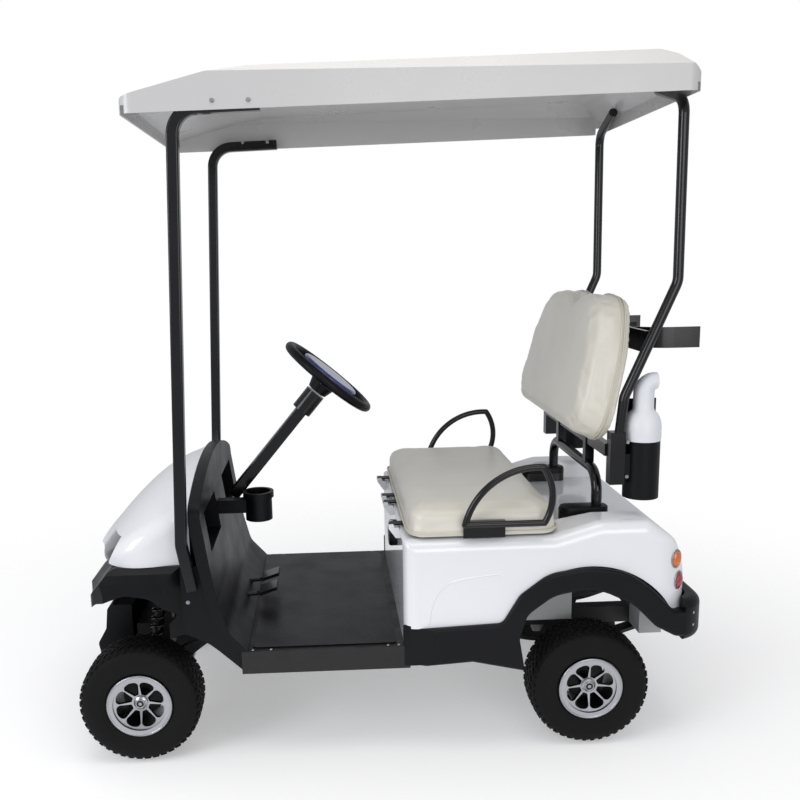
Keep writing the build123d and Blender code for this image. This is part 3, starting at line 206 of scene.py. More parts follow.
def place(name, mesh, material, body, slot, sharp=35, stands_for=()):
    """Puts a finished mesh in the scene."""
    mesh.shade_smooth()
    mesh.set_sharp_from_angle(angle=math.radians(sharp))
    mesh.materials.clear()
    mesh.materials.append(material)
    piece = bpy.data.objects.new(name, mesh)
    scene.collection.objects.link(piece)
    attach(piece, body)
    if stands_for:
        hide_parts(*stands_for)
    return piece


def facing(direction, origin):
    """Matrix that turns +Z to a direction and moves to a point."""
    turn = Vector(direction).to_track_quat("Z", "Y").to_matrix().to_4x4()
    return Matrix.Translation(origin) @ turn


def round_bar(bm, start, end, radius, end_radius=None, segments=24):
    """Cylinder or cone between two points."""
    start, end = Vector(start), Vector(end)
    span = end - start
    bmesh.ops.create_cone(
        bm, cap_ends=True, segments=segments, radius1=radius,
        radius2=radius if end_radius is None else end_radius, depth=span.length,
        matrix=facing(span, (start + end) / 2))


def block(bm, middle, size, bevel=0.0, turn=None):
    """Box with its edges bevelled."""
    matrix = Matrix.Translation(middle)
    if turn is not None:
        matrix = matrix @ turn
    made = bmesh.ops.create_cube(bm, size=1.0, matrix=matrix @ Matrix.Diagonal((*size, 1.0)))
    if bevel:
        edges = {edge for vert in made["verts"] for edge in vert.link_edges}
        bmesh.ops.bevel(bm, geom=list(edges), offset=bevel, offset_type="OFFSET", segments=2,
                        profile=0.5, affect="EDGES", material=-1)


def spun(bm, profile, origin, axis, steps=96):
    """Spins a profile of points round an axis."""
    verts = [bm.verts.new(point) for point in profile]
    edges = [bm.edges.new(pair) for pair in zip(verts, verts[1:])]
    bmesh.ops.spin(bm, geom=verts + edges, cent=origin, axis=axis, angle=2 * math.pi, steps=steps,
                   use_merge=True)


def ring(bm, origin, axis, radius, thickness, steps=48, segments=12):
    """Torus round an axis."""
    axis = Vector(axis).normalized()
    across = axis.orthogonal().normalized()
    made = bmesh.ops.create_circle(
        bm, segments=segments, radius=thickness,
        matrix=facing(axis.cross(across), Vector(origin) + across * radius))
    edges = list({edge for vert in made["verts"] for edge in vert.link_edges})
    bmesh.ops.spin(bm, geom=made["verts"] + edges, cent=origin, axis=axis, angle=2 * math.pi,
                   steps=steps, use_merge=True)


def pipe(name, points, radius, material, body, slot, closed=False, stands_for=()):
    """Smooth round tube along points."""
    curve = bpy.data.curves.new(name, "CURVE")
    curve.dimensions = "3D"
    curve.bevel_depth = radius
    curve.bevel_resolution = 3
    curve.use_fill_caps = True
    spline = curve.splines.new("NURBS")
    spline.points.add(len(points) - 1)
    for point, target in zip(spline.points, points):
        point.co = (*target, 1.0)
    spline.order_u = 3
    spline.use_cyclic_u = closed
    spline.use_endpoint_u = not closed
    holder = bpy.data.objects.new(name + "_line", curve)
    scene.collection.objects.link(holder)
    mesh = bpy.data.meshes.new_from_object(holder.evaluated_get(bpy.context.evaluated_depsgraph_get()))
    bpy.data.objects.remove(holder)
    mesh.name = name
    return place(name, mesh, material, body, slot, stands_for=stands_for)


def fasteners(name, rows, body, material=zinc, slot="steel"):
    """Hexagon heads on washers, from rows of (point, outward direction, size across in mm)."""
    bm = bmesh.new()
    for point, outward, size in rows:
        point, outward = Vector(point), Vector(outward).normalized()
        half = size / 2000
        round_bar(bm, point - outward * 0.001, point + outward * half * 0.3, half * 1.35)
        round_bar(bm, point, point + outward * half, half, half * 0.92, segments=6)
    return keep(name, bm, material, body, slot)


def rivets(name, rows, body, material=zinc, slot="steel"):
    """Domed rivet heads, from rows of (point, outward direction, diameter in mm)."""
    bm = bmesh.new()
    for point, outward, size in rows:
        half = size / 2000
        matrix = facing(outward, point) @ Matrix.Diagonal((1, 1, 0.5, 1))
        bmesh.ops.create_uvsphere(bm, u_segments=16, v_segments=8, radius=half, matrix=matrix)
    return keep(name, bm, material, body, slot)


SMOOTH_TURNS = 3            # evens out the swollen mesh


def inflate(piece, voxel, cap, held, pressure=4.0, steps=20):
    """Swells a padded form by pressure from inside, with the points that held() names fixed."""
    remesh = piece.modifiers.new("even", "REMESH")
    remesh.mode = "VOXEL"
    remesh.voxel_size = voxel
    bake(piece)
    piece.data.shade_smooth()
    pins = piece.vertex_groups.new(name="held")
    pins.add([v.index for v in piece.data.vertices if held(v.co)], 1.0, "REPLACE")
    rest = [v.co.copy() for v in piece.data.vertices]
    cloth = piece.modifiers.new("swell", "CLOTH")
    cloth.settings.use_pressure = True
    cloth.settings.uniform_pressure_force = pressure
    cloth.settings.vertex_group_mass = "held"
    cloth.settings.effector_weights.gravity = 0.0
    for step in range(1, steps + 1):
        scene.frame_set(step)
    bake(piece)
    scene.frame_set(1)
    for vert, start in zip(piece.data.vertices, rest):
        moved = vert.co - start
        if moved.length > cap:
            vert.co = start + moved * (cap / moved.length)
    smooth = bmesh.new()
    smooth.from_mesh(piece.data)
    for _ in range(SMOOTH_TURNS):
        bmesh.ops.smooth_vert(smooth, verts=smooth.verts, factor=0.5, use_axis_x=True,
                              use_axis_y=True, use_axis_z=True)
    smooth.to_mesh(piece.data)
    smooth.free()
    piece.data.shade_smooth()


def bake(piece):
    """Applies a piece's modifiers to its mesh."""
    evaluated = piece.evaluated_get(bpy.context.evaluated_depsgraph_get())
    mesh = bpy.data.meshes.new_from_object(evaluated)
    piece.modifiers.clear()
    old = piece.data
    mesh.name = old.name
    piece.data = mesh
    bpy.data.meshes.remove(old)


def paint(material, *names):
    """Gives CAD nodes their real finish."""
    for name in names:
        for material_slot in nodes[name].material_slots:
            material_slot.material = material


# ------------------------------------------------------------------ finishes on the CAD nodes
paint(gelcoat, "rear_body", "front_cowl", "seat_hinges")
paint(roof_abs, "roof")
paint(trim_pp, "rear_fenders", "rear_bumper", "front_bumper", "front_valance", "dash_panel", "cup_holder",
      "bottle_holders", "charge_socket", "backrest_board", "seat_board")
paint(coated_tube, "front_posts", "rear_posts", "seat_back_frame", "armrests", "steering_column", "bag_rack",
      "pedals")
paint(frame_paint, "chassis_frame", "rear_axle", "front_axle", "rear_springs", "floor_pan", "knuckle_left",
      "knuckle_right")
paint(zinc, "tie_rod")
paint(mat_rubber, "floor_mat")
paint(battery_case, "battery_pack")
paint(bottle_pe, "sand_bottles")
paint(smoked_lens, "headlamps")
paint(amber_lens, "indicator_lamps")
paint(red_lens, "stop_lamps")
paint(trim_pp, "steering_wheel")
paint(pad_gloss, "steering_pad")
for place_name in ("front_left", "front_right", "rear_left", "rear_right"):
    paint(lathe_cut, "rim_" + place_name)



def soften(name, width_mm, angle):
    """Rounds the moulded edges of a CAD node."""
    edge = nodes[name].modifiers.new("moulded_edge", "BEVEL")
    edge.width = width_mm / 1000
    edge.segments = 3
    edge.limit_method = "ANGLE"
    edge.angle_limit = math.radians(angle)
    edge.use_clamp_overlap = True
    edge.harden_normals = True


MOULDED_ANGLE = 22          # degrees: flatter edges stay as they are
for name, width in (("front_bumper", 7), ("dash_panel", 5), ("front_valance", 6), ("backrest_board", 3)):
    soften(name, width, MOULDED_ANGLE)

# ------------------------------------------------------------------ seat cushion
seat_low, seat_high = (Vector(corner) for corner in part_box("seat_cushion"))
seat_size = seat_high - seat_low
CROWN = 0.006               # room left for the swelling on top
SIDE_ROOM = 0.008           # and over both sides
SEAT_CORNER = 0.055
SEAT_TOP_EDGE = 0.030
SEAM_RISE = 0.012           # seam above the cushion's foot
WELT_R = 0.0032
bm = bmesh.new()
shell_size = seat_size - Vector((SIDE_ROOM, SIDE_ROOM, CROWN))
block_middle = (seat_low + seat_high) / 2 - Vector((0, 0, CROWN / 2))
bmesh.ops.create_cube(
    bm, size=1.0, matrix=Matrix.Translation(block_middle) @ Matrix.Diagonal((*shell_size, 1)))
upright = [edge for edge in bm.edges if abs(edge.verts[0].co.z - edge.verts[1].co.z) > 0.01]
bmesh.ops.bevel(bm, geom=upright, offset=SEAT_CORNER, offset_type="OFFSET", segments=8, profile=0.5,
                affect="EDGES", material=-1)
top_z = max(vert.co.z for vert in bm.verts)
rim = [edge for edge in bm.edges if all(abs(v.co.z - top_z) < 1e-5 for v in edge.verts)]
bmesh.ops.bevel(bm, geom=rim, offset=SEAT_TOP_EDGE, offset_type="OFFSET", segments=6, profile=0.5,
                affect="EDGES", material=-1)
seat_pad = keep("seat_pad", bm, vinyl, "seat_lid", "cream_vinyl", 60, ("seat_cushion",))
seam_height = seat_low.z + SEAM_RISE
inflate(seat_pad, 0.006, 0.007, lambda co: co.z < seam_height)


def rounded_rectangle(low, high, radius, z, steps=6):
    """Points round a rectangle with round corners."""
    corners = (
        (high.x - radius, high.y - radius, 0), (low.x + radius, high.y - radius, 90),
        (low.x + radius, low.y + radius, 180), (high.x - radius, low.y + radius, 270))
    return [
        Vector((x + radius * math.cos(math.radians(turn + 90 * i / steps)),
                y + radius * math.sin(math.radians(turn + 90 * i / steps)), z))
        for x, y, turn in corners for i in range(steps + 1)]


inset = Vector((0.003, 0.003, 0))
pipe("seat_welt", rounded_rectangle(seat_low + inset, seat_high - inset, SEAT_CORNER, seam_height), WELT_R,
     welt, "seat_lid", "cream_vinyl", closed=True)

# ------------------------------------------------------------------ backrest cushion
TILT = math.radians(13.4)
back_out = Vector((math.cos(TILT), 0, math.sin(TILT)))      # out of the front face
back_up = Vector((-math.sin(TILT), 0, math.cos(TILT)))
back_foot = at(54, 0, 868)
BACK_DEPTH = 0.096
BACK_MIDDLE = 190           # mm up the slope: rows below it shrink upward, the others downward
BACK_EDGE = 0.019           # round front edge
BACK_HELD = 0.006           # held strip at the hard back
SEAM_HELD = 0.003           # held strip on each side of a seam
BACK_WELT_R = 0.0022
half_rows = (       # across and up the slope in mm, corner radius in mm
    (340, 0, 80), (365, 80, 100), (343, 255, 130), (262, 388, 110), (110, 402, 130), (0, 362, 0))
back_rows = half_rows + tuple((-y, z, radius) for y, z, radius in reversed(half_rows[:-1]))
SWELL = 2                   # mm left for the swelling


def run_in(before, corner, after, radius):
    """Length that a round corner takes of each side, in mm."""
    to_before = Vector(before[:2]) - Vector(corner[:2])
    to_after = Vector(after[:2]) - Vector(corner[:2])
    return radius / math.tan(to_before.angle(to_after) / 2)


def back_outline(bm, depth, shrink):
    """Backrest outline as one face, depth metres behind the front and shrunk by shrink mm."""
    verts = []
    for y, z, radius in back_rows:
        y -= math.copysign(shrink, y) if y else 0
        z += shrink if z < BACK_MIDDLE else -shrink
        point = back_foot + Vector((0, y / 1000, 0)) + back_up * z / 1000 - back_out * depth
        verts.append(bm.verts.new(point))
    bm.faces.new(verts)
    for number, (vert, corner) in enumerate(zip(verts, back_rows)):
        if corner[2]:
            following = back_rows[(number + 1) % len(back_rows)]
            length = run_in(back_rows[number - 1], corner, following, corner[2])
            bmesh.ops.bevel(bm, geom=[vert], offset=length / 1000, offset_type="OFFSET", segments=8,
                            profile=0.5, affect="VERTICES", material=-1)
    bm.faces.ensure_lookup_table()
    return bm.faces[0]


bm = bmesh.new()
back_face = back_outline(bm, SWELL / 1000, SWELL)
grown = bmesh.ops.extrude_face_region(bm, geom=[back_face])
moved = [item for item in grown["geom"] if isinstance(item, bmesh.types.BMVert)]
bmesh.ops.translate(bm, verts=moved, vec=-back_out * (BACK_DEPTH - SWELL / 1000))
bmesh.ops.recalc_face_normals(bm, faces=bm.faces)
front_edges = [edge for edge in bm.edges
               if all((v.co - back_foot).dot(back_out) > -0.02 for v in edge.verts)]
bmesh.ops.bevel(bm, geom=front_edges, offset=BACK_EDGE, offset_type="OFFSET", segments=6, profile=0.5,
                affect="EDGES", material=-1)
back_pad = keep("back_pad", bm, vinyl, "chassis", "cream_vinyl", 60, ("backrest_cushion",))
SEAMS = (0.071, 0.080)      # behind the front face


def on_back_seam(co):
    """Held along both seams and over the hard back."""
    behind = -(co - back_foot).dot(back_out)
    return behind > BACK_DEPTH - BACK_HELD or any(abs(behind - seam) < SEAM_HELD for seam in SEAMS)


inflate(back_pad, 0.005, 0.009, on_back_seam, pressure=4.5)
for number, seam in enumerate(SEAMS):
    bm = bmesh.new()
    loop_face = back_outline(bm, seam, SWELL - 1.5)
    loop = [vert.co.copy() for vert in loop_face.verts]
    bm.free()
    pipe(f"back_welt_{number + 1}", loop, BACK_WELT_R, welt, "chassis", "cream_vinyl", closed=True)

# ------------------------------------------------------------------ tyres
CARCASS_R, TYRE_HALF = 165.6, 64.6
BEAD_Y = 53
tyre_profile = (            # outward from the middle plane and out from the axle, in mm
    (BEAD_Y - 1, 77), (BEAD_Y - 1, 89), (BEAD_Y + 3, 91), (BEAD_Y + 7, 97), (61, 104), (62.2, 105),
    (62.6, 107), (64, 112), (TYRE_HALF, 120), (TYRE_HALF, 130), (63.6, 140), (63.0, 141), (62.6, 145),
    (59, 152.5), (53, 157.5), (46, 161), (36, 163.4), (20, 165), (0, CARCASS_R))
LUG_ROWS = (                # middle, width across and height in mm, slant in degrees, lugs round
    (0, 13, 3.4, 0, 44), (15, 15, 3.6, 32, 44), (-15, 15, 3.6, -32, 44), (32, 16, 4.0, -32, 44),
    (-32, 16, 4.0, 32, 44), (49, 15, 4.6, 30, 44), (-49, 15, 4.6, -30, 44))
LUG_LENGTH = 9.0
SHOULDER_LEAN = 28          # degrees
SHOULDER_FROM = 40          # rows further out than this lean over the shoulder
OFFSET_ROWS = (15, 49)      # set half a pitch round
LUG_ROOT = 1.2              # sunk in the carcass


def carcass_radius(y):
    """Radius of the carcass at a distance from the middle plane, in mm."""
    y = abs(y)
    for (y1, r1), (y0, r0) in zip(tyre_profile[:-1], tyre_profile[1:]):
        if y0 <= y <= y1 and r0 > 150:
            return r0 + (r1 - r0) * (y - y0) / (y1 - y0)
    return 150


def tyre(name, hub, body):
    """Turf tyre: a ribbed carcass with rows of slanted lugs that wrap over the shoulders."""
    bm = bmesh.new()
    half = [Vector((0, y / 1000, radius / 1000)) for y, radius in tyre_profile]
    whole = half + [Vector((0, -point.y, point.z)) for point in reversed(half[:-1])]
    spun(bm, [hub + point for point in whole] + [hub + whole[0]], hub, Vector((0, 1, 0)), 96)
    bmesh.ops.remove_doubles(bm, verts=bm.verts, dist=1e-6)
    for middle, width, height, slant, count in LUG_ROWS:
        lean = 0 if abs(middle) < SHOULDER_FROM else math.copysign(SHOULDER_LEAN, -middle)
        radius = carcass_radius(middle)
        for number in range(count):
            turn = 360 / count * (number + (0.5 if abs(middle) in OFFSET_ROWS else 0))
            matrix = (
                Matrix.Translation(hub) @ Matrix.Rotation(math.radians(turn), 4, "Y")
                @ Matrix.Translation((0, middle / 1000, (radius + height / 2 - LUG_ROOT) / 1000))
                @ Matrix.Rotation(math.radians(lean), 4, "X") @ Matrix.Rotation(math.radians(slant), 4, "Z")
                @ Matrix.Diagonal((LUG_LENGTH / 1000, width / 1000, height / 1000, 1)))
            bmesh.ops.create_cube(bm, size=1.0, matrix=matrix)
    return keep("turf_" + name, bm, tyre_rubber, body, "tyre_rubber", 40, (name,))


# ------------------------------------------------------------------ wheels
CAP_FACE, CAP_R, CAP_RING = 0.046, 0.0115, 0.0022   # out from the hub's middle, radius, thickness
NUTS, NUT_CIRCLE, NUT_R = 4, 0.0165, 0.0035
VALVE_PLACE = Vector((0.052, 0, -0.040))
LIP_FACE, LIP_R, LIP_THICK = 0.0585, 0.0860, 0.0030
DRUM_R = 0.062


def wheel_trim(name, hub, side, body):
    """Dark cap with its ring and hexagon, wheel nuts round it, a valve and the rim's bright lip."""
    out = Vector((0, side, 0))
    bm = bmesh.new()
    ring(bm, hub + out * CAP_FACE, out, CAP_R, CAP_RING)
    round_bar(bm, hub + out * 0.040, hub + out * 0.0475, 0.0058, 0.0052, segments=6)
    for number in range(NUTS):
        turn = math.radians(45 + 360 / NUTS * number)
        spot = hub + Vector((math.cos(turn), 0, math.sin(turn))) * NUT_CIRCLE
        round_bar(bm, spot + out * 0.034, spot + out * 0.041, NUT_R, segments=6)
    keep("cap_" + name, bm, zinc, body, "alloy")
    bm = bmesh.new()
    round_bar(bm, hub + out * 0.030, hub + out * 0.0442, 0.0125, CAP_R, segments=32)
    keep("cap_core_" + name, bm, pocket_paint, body, "alloy")
    bm = bmesh.new()
    spot = hub + VALVE_PLACE
    round_bar(bm, spot + out * 0.020, spot + out * 0.046, 0.0035, 0.003, segments=12)
    keep("valve_" + name, bm, pocket_paint, body, "alloy")
    bm = bmesh.new()
    ring(bm, hub + out * LIP_FACE, out, LIP_R, LIP_THICK, steps=72)
    keep("lip_" + name, bm, alloy, body, "alloy")


for end in ("front", "rear"):
    for side_name, side in SIDES:
        wheel = end + "_" + side_name
        hub = centre("tyre_" + wheel)
        tyre("tyre_" + wheel, hub, "wheel_" + wheel)
        wheel_trim(wheel, hub, side, "wheel_" + wheel)
        # brake drum behind the wheel
        carrier = "chassis" if end == "rear" else "knuckle_" + side_name
        bm = bmesh.new()
        out = Vector((0, side, 0))
        round_bar(bm, hub - out * 0.045, hub - out * 0.012, DRUM_R, DRUM_R - 0.004, segments=48)
        keep("drum_" + wheel, bm, frame_paint, carrier, "black_frame")

# ------------------------------------------------------------------ front springs
COIL_TURNS, COIL_STEPS = 8, 22
COIL_R, COIL_WIRE, COIL_LENGTH = 0.0175, 0.0045, 0.205
SPRING_Y = 0.195
SEAT_R = 0.021              # of the spring's two seats
across = Vector((0, 1, 0))
lean = Vector((-38, 0, 253)).normalized()
spring_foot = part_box("front_springs")[0][2]
for side_name, side in SIDES:
    foot = Vector((front_x, side * SPRING_Y, spring_foot)) + lean * 0.020
    bm = bmesh.new()
    made = bmesh.ops.create_circle(
        bm, segments=10, radius=COIL_WIRE, cap_ends=True,
        matrix=facing(across.cross(lean), foot + across * COIL_R))
    geom = made["verts"] + list({e for v in made["verts"] for e in v.link_edges})
    rise = COIL_LENGTH / (COIL_TURNS * COIL_STEPS)
    bmesh.ops.spin(bm, geom=geom, cent=foot, axis=lean, dvec=lean * rise,
                   angle=2 * math.pi * COIL_TURNS, steps=COIL_TURNS * COIL_STEPS)
    keep("coil_" + side_name, bm, coated_tube, "chassis", "steel", 60,
         ("front_springs",) if side > 0 else ())
    bm = bmesh.new()
    base = foot - lean * 0.018
    round_bar(bm, base, base + lean * 0.130, 0.012)
    round_bar(bm, base + lean * 0.120, base + lean * 0.246, 0.0065)
    round_bar(bm, base + lean * 0.012, base + lean * 0.018, SEAT_R, SEAT_R, segments=32)
    round_bar(bm, base + lean * 0.226, base + lean * 0.232, SEAT_R, SEAT_R, segments=32)
    keep("damper_" + side_name, bm, frame_paint, "chassis", "black_frame")

# ------------------------------------------------------------------ lamps, bolts and rivets
CORNER_R = 0.105            # of the rear body in plan
LENS_R, LENS_TALL, LENS_FLAT = 0.0185, 1.3, 0.62    # radius, height and depth as shares of it
LAMPS = (                   # name, height in mm, degrees round the corner, finish, slot, CAD node
    ("indicator", 535, 57, amber_lens, "lens_orange", "indicator_lamps"),
    ("stop", 471, 49, red_lens, "lens_red", "stop_lamps"))
body_low, body_high = (Vector(corner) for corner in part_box("rear_body"))
for lamp_name, height, angle, lens_finish, lens_slot, lens_node in LAMPS:
    glass, bezel = bmesh.new(), bmesh.new()
    for side_name, side in SIDES:
        turn = math.radians(angle)
        outward = Vector((-math.cos(turn), side * math.sin(turn), 0))
        corner = Vector((body_low.x + CORNER_R, side * (body_high.y - CORNER_R), height / 1000))
        spot = corner + outward * (CORNER_R - 0.001)
        squat = facing(outward, spot) @ Matrix.Diagonal((1.0, LENS_TALL, LENS_FLAT, 1))
        bmesh.ops.create_uvsphere(glass, u_segments=10, v_segments=8, radius=LENS_R, matrix=squat)
        before = set(bezel.verts)
        ring(bezel, spot + outward * 0.0015, outward, 0.0190, 0.0018)
        fresh = [vert for vert in bezel.verts if vert not in before]
        bmesh.ops.scale(bezel, vec=(1, 1, LENS_TALL), verts=fresh, space=Matrix.Translation(-spot))
    keep(lamp_name + "_glass", glass, lens_finish, "chassis", lens_slot, 10, (lens_node,))
    keep(lamp_name + "_bezels", bezel, zinc, "chassis", "steel")

FASTENER_ROWS = (           # name, maker, ahead, left and up in mm, outward direction, size in mm
    ("post_bolts", fasteners, ((-96, 362, 855), (-96, 362, 760)), (0, 1, 0), 7),
    ("roof_bolts", fasteners, ((963, 420.5, 1737), (876, 420.5, 1737)), (0, 1, 0), 8),
    ("post_top_bolts", fasteners, ((961, 385.5, 1737), (880, 385.5, 1737)), (0, -1, 0), 8),
    ("post_foot_bolts", fasteners, ((1092, 425, 470),), (0, 1, 0), 8),
    ("floor_rivets", rivets, tuple((x, 392, 313) for x in (930, 880, 560, 530)), (0, 0, 1), 9),
    ("bumper_rivets", rivets, ((-277, 413.5, 385), (-277, 413.5, 350)), (-0.57, 0.82, 0), 8))
for name, maker, places, (ahead, left, up), size in FASTENER_ROWS:
    rows = [(at(x, side * y, z), (ahead, side * left, up), size) for x, y, z in places for side in (1, -1)]
    maker(name, rows, "chassis")

# ------------------------------------------------------------------ feet of the back frame, ends of the sills
PAD_SIZE = (0.136, 0.056, 0.020)
PAD_TOP = 0.6479            # just under the top face
bm = bmesh.new()
for side in (1, -1):
    made = bmesh.ops.create_cube(
        bm, size=1.0, matrix=Matrix.Translation(at(-17, side * 238, 638)) @ Matrix.Diagonal((*PAD_SIZE, 1)))
    upright = [edge for edge in {e for v in made["verts"] for e in v.link_edges}
               if abs(edge.verts[0].co.z - edge.verts[1].co.z) > 0.01]
    bmesh.ops.bevel(bm, geom=upright, offset=0.024, offset_type="OFFSET", segments=6, profile=0.5,
                    affect="EDGES", material=-1)
    top = [edge for edge in bm.edges if all(vert.co.z > PAD_TOP for vert in edge.verts)
           and edge.verts[0].co.y * side > 0]
    bmesh.ops.bevel(bm, geom=top, offset=0.004, offset_type="OFFSET", segments=3, profile=0.5,
                    affect="EDGES", material=-1)
keep("foot_pads", bm, trim_pp, "chassis", "black_textured")
bm = bmesh.new()
for side in (1, -1):
    block(bm, at(496, side * 396, 312), (0.044, 0.013, 0.118), 0.003)
keep("sill_closers", bm, trim_pp, "chassis", "black_textured")

# ------------------------------------------------------------------ sand bottles with bent spouts
BOTTLE_PROFILE = (          # out from the axis and above the ground, in mm
    (0, 800), (40, 800), (42, 804), (42, 852), (48.4, 855), (49.4, 862), (49.4, 892), (48, 904), (44, 918),
    (38, 928), (30, 936), (28, 942), (27.5, 965), (27.5, 989), (0, 990))
SPOUT_STEPS = 8
SPOUT_FOOT = 0.988          # height at which the neck starts to bend
SPOUT_PIVOT = -0.0335       # behind the bottle's axis
NECK_R, SPOUT_R = 0.0275, 0.0225
bm = bmesh.new()
for side in (1, -1):
    foot = at(-146, side * 330, 0)
    points = [foot + Vector((out / 1000, 0, up / 1000)) for out, up in BOTTLE_PROFILE]
    spun(bm, points, foot, Vector((0, 0, 1)), 48)
    pivot = foot + Vector((SPOUT_PIVOT, 0, SPOUT_FOOT))
    made = bmesh.ops.create_circle(
        bm, segments=32, radius=NECK_R, cap_ends=True,
        matrix=Matrix.Translation(foot + Vector((0, 0, SPOUT_FOOT))))
    loop = list({edge for vert in made["verts"] for edge in vert.link_edges})
    for step in range(1, SPOUT_STEPS + 1):
        grown = bmesh.ops.extrude_edge_only(bm, edges=loop)
        verts = [item for item in grown["geom"] if isinstance(item, bmesh.types.BMVert)]
        loop = [item for item in grown["geom"] if isinstance(item, bmesh.types.BMEdge)
                and all(vert in verts for vert in item.verts)]
        turn = math.radians(-90 / SPOUT_STEPS)
        bmesh.ops.rotate(bm, verts=verts, cent=pivot, matrix=Matrix.Rotation(turn, 3, "Y"))
        shrink, before = (1 - part / SPOUT_STEPS * (1 - SPOUT_R / NECK_R) for part in (step, step - 1))
        factor = shrink / before
        bmesh.ops.scale(bm, verts=verts, vec=(factor, factor, factor), space=Matrix.Translation(-pivot))
    bmesh.ops.contextual_create(bm, geom=loop)
keep("spout_bottles", bm, bottle_pe, "chassis", "white_bottle", 50, ("sand_bottles",))
bm = bmesh.new()
for side in (1, -1):
    block(bm, at(-146, side * 281, 850), (0.030, 0.004, 0.220), 0.001)
    block(bm, at(-146, side * 283.5, 940), (0.104, 0.004, 0.042), 0.0015)
keep("bottle_straps", bm, coated_tube, "chassis", "black_tube")

# ------------------------------------------------------------------ character line of the rear body
LINE_Y, LINE_R = 413.6, 0.0030
line_rows = ((449, 378), (446, 410), (439, 436), (428, 462), (412, 482), (390, 496), (352, 505), (300, 512),
             (257, 515))
for side_name, side in SIDES:
    pipe("body_line_" + side_name, [at(x, side * LINE_Y, z) for x, z in line_rows], LINE_R, gelcoat,
         "chassis", "white_body")

# ------------------------------------------------------------------ stage, light and camera
FADE_FROM, FADE_TO = 0.9, 2.6       # distances at which the floor starts and ends to clear
FLOOR_GLOW = 0.32


def plain(name, colour):
    """Matt floor with a faint glow that clears to the white backdrop further out."""
    material = bpy.data.materials.new(name)
    material.use_nodes = True
    tree = material.node_tree
    tree.nodes.clear()
    place = add_node(tree, "ShaderNodeTexCoord").outputs["Object"]
    far = add_node(tree, "ShaderNodeVectorMath", {0: place}, operation="LENGTH")
    fade = add_node(tree, "ShaderNodeMapRange", {
        "Value": far.outputs["Value"], "From Min": FADE_FROM, "From Max": FADE_TO},
        interpolation_type="SMOOTHSTEP")
    diffuse = add_node(tree, "ShaderNodeBsdfDiffuse", {"Color": rgb(colour)})
    glow = add_node(tree, "ShaderNodeEmission", {"Strength": FLOOR_GLOW})
    lifted = add_node(tree, "ShaderNodeAddShader", {0: diffuse.outputs[0], 1: glow.outputs[0]})
    clear = add_node(tree, "ShaderNodeBsdfTransparent")
    mixed = add_node(tree, "ShaderNodeMixShader", {
        0: fade.outputs["Result"], 1: lifted.outputs[0], 2: clear.outputs[0]})
    add_node(tree, "ShaderNodeOutputMaterial", {"Surface": mixed.outputs[0]})
    return material


bm = bmesh.new()
bmesh.ops.create_grid(bm, x_segments=1, y_segments=1, size=6.0)
floor_mesh = bpy.data.meshes.new("studio_floor")
bm.to_mesh(floor_mesh)
bm.free()
floor_mesh.materials.append(plain("pale_floor", "#E4E4E4"))
floor = bpy.data.objects.new("studio_floor", floor_mesh)
scene.collection.objects.link(floor)

world = bpy.data.worlds.new("studio")
scene.world = world
world.use_nodes = True
tree = world.node_tree
tree.nodes.clear()
ray = add_node(tree, "ShaderNodeLightPath")
seen = add_node(tree, "ShaderNodeMath", {
    0: ray.outputs["Is Camera Ray"], 1: ray.outputs["Is Transmission Ray"]}, operation="MAXIMUM")
soft = add_node(tree, "ShaderNodeBackground", {"Color": rgb("#EDEFF4"), "Strength": 0.62})
white = add_node(tree, "ShaderNodeBackground", {"Color": (1, 1, 1, 1), "Strength": 1.0})
both = add_node(tree, "ShaderNodeMixShader", {
    0: seen.outputs[0], 1: soft.outputs[0], 2: white.outputs[0]})
add_node(tree, "ShaderNodeOutputWorld", {"Surface": both.outputs[0]})


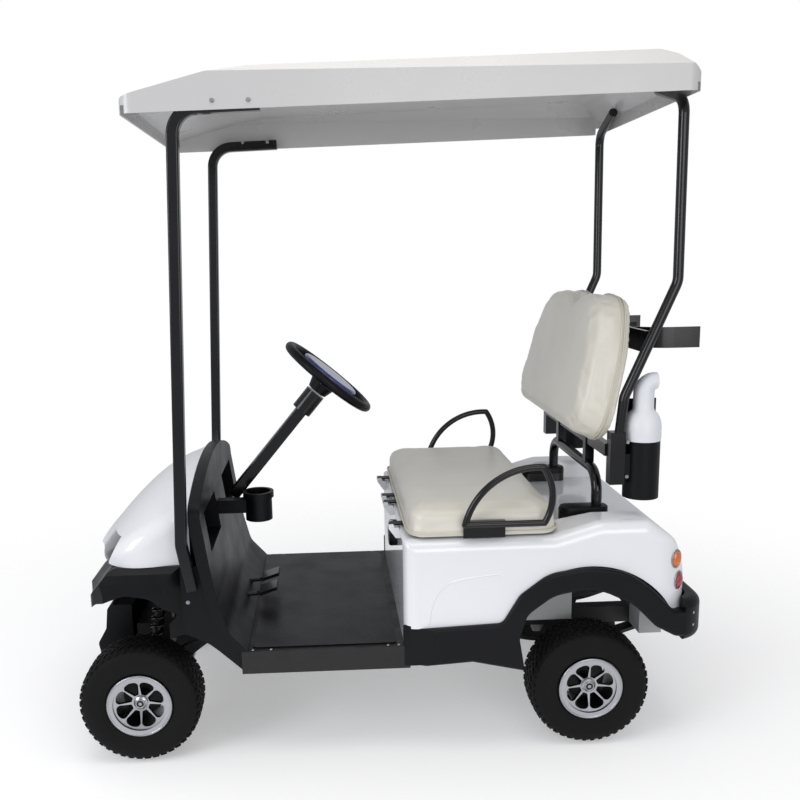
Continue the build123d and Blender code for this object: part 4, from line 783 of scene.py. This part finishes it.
def softbox(name, spot, aim, size, power, colour="#FFFFFF"):
    """Area light that faces a point."""
    light = bpy.data.lights.new(name, "AREA")
    light.shape = "RECTANGLE"
    light.size, light.size_y = size
    light.energy = power
    light.color = rgb(colour)[:3]
    lamp = bpy.data.objects.new(name, light)
    lamp.matrix_world = facing(Vector(spot) - Vector(aim), spot)
    scene.collection.objects.link(lamp)


softbox("overhead", (0.2, 0.6, 4.2), (0, 0, 0.8), (3.6, 2.6), 60, "#FFFBF3")
softbox("front_window", (3.4, 2.6, 2.0), (0.3, 0, 0.6), (1.6, 2.0), 55, "#F6F9FF")
softbox("camera_fill", (-1.2, 4.2, 1.6), (0, 0, 0.7), (2.6, 2.0), 38)

# The camera stands to the left of the cart and looks slightly down and back.
CAMERA_PLACE = (706.0, 2664.0, 1365.8)      # ahead of the rear axle, left, above the ground
YAW, PITCH, ROLL = -0.0332, 0.1882, -0.0229
FOCAL_PX, AXIS_PX, FRAME_PX = 886.87, (357.34, 423.72), 800
swing = Matrix(((math.cos(YAW), 0, math.sin(YAW)), (0, 1, 0), (-math.sin(YAW), 0, math.cos(YAW))))
tip = Matrix(((1, 0, 0), (0, math.cos(PITCH), -math.sin(PITCH)), (0, math.sin(PITCH), math.cos(PITCH))))
roll = Matrix(((math.cos(ROLL), -math.sin(ROLL), 0), (math.sin(ROLL), math.cos(ROLL), 0), (0, 0, 1)))
level = Matrix(((-1, 0, 0), (0, 0, -1), (0, -1, 0)))    # right, down and forward of a level camera
right, down, forward = (roll @ tip @ swing @ level)
lens = bpy.data.cameras.new("camera")
lens.sensor_width = 36.0
lens.lens = FOCAL_PX * lens.sensor_width / FRAME_PX
lens.shift_x = (FRAME_PX / 2 - AXIS_PX[0]) / FRAME_PX
lens.shift_y = (AXIS_PX[1] - FRAME_PX / 2) / FRAME_PX
camera = bpy.data.objects.new("camera", lens)
turned = Matrix((right, -down, -forward)).transposed()
camera.matrix_world = Matrix.Translation(at(*CAMERA_PLACE)) @ turned.to_4x4()
scene.collection.objects.link(camera)
scene.camera = camera
scene.view_settings.view_transform = "Standard"
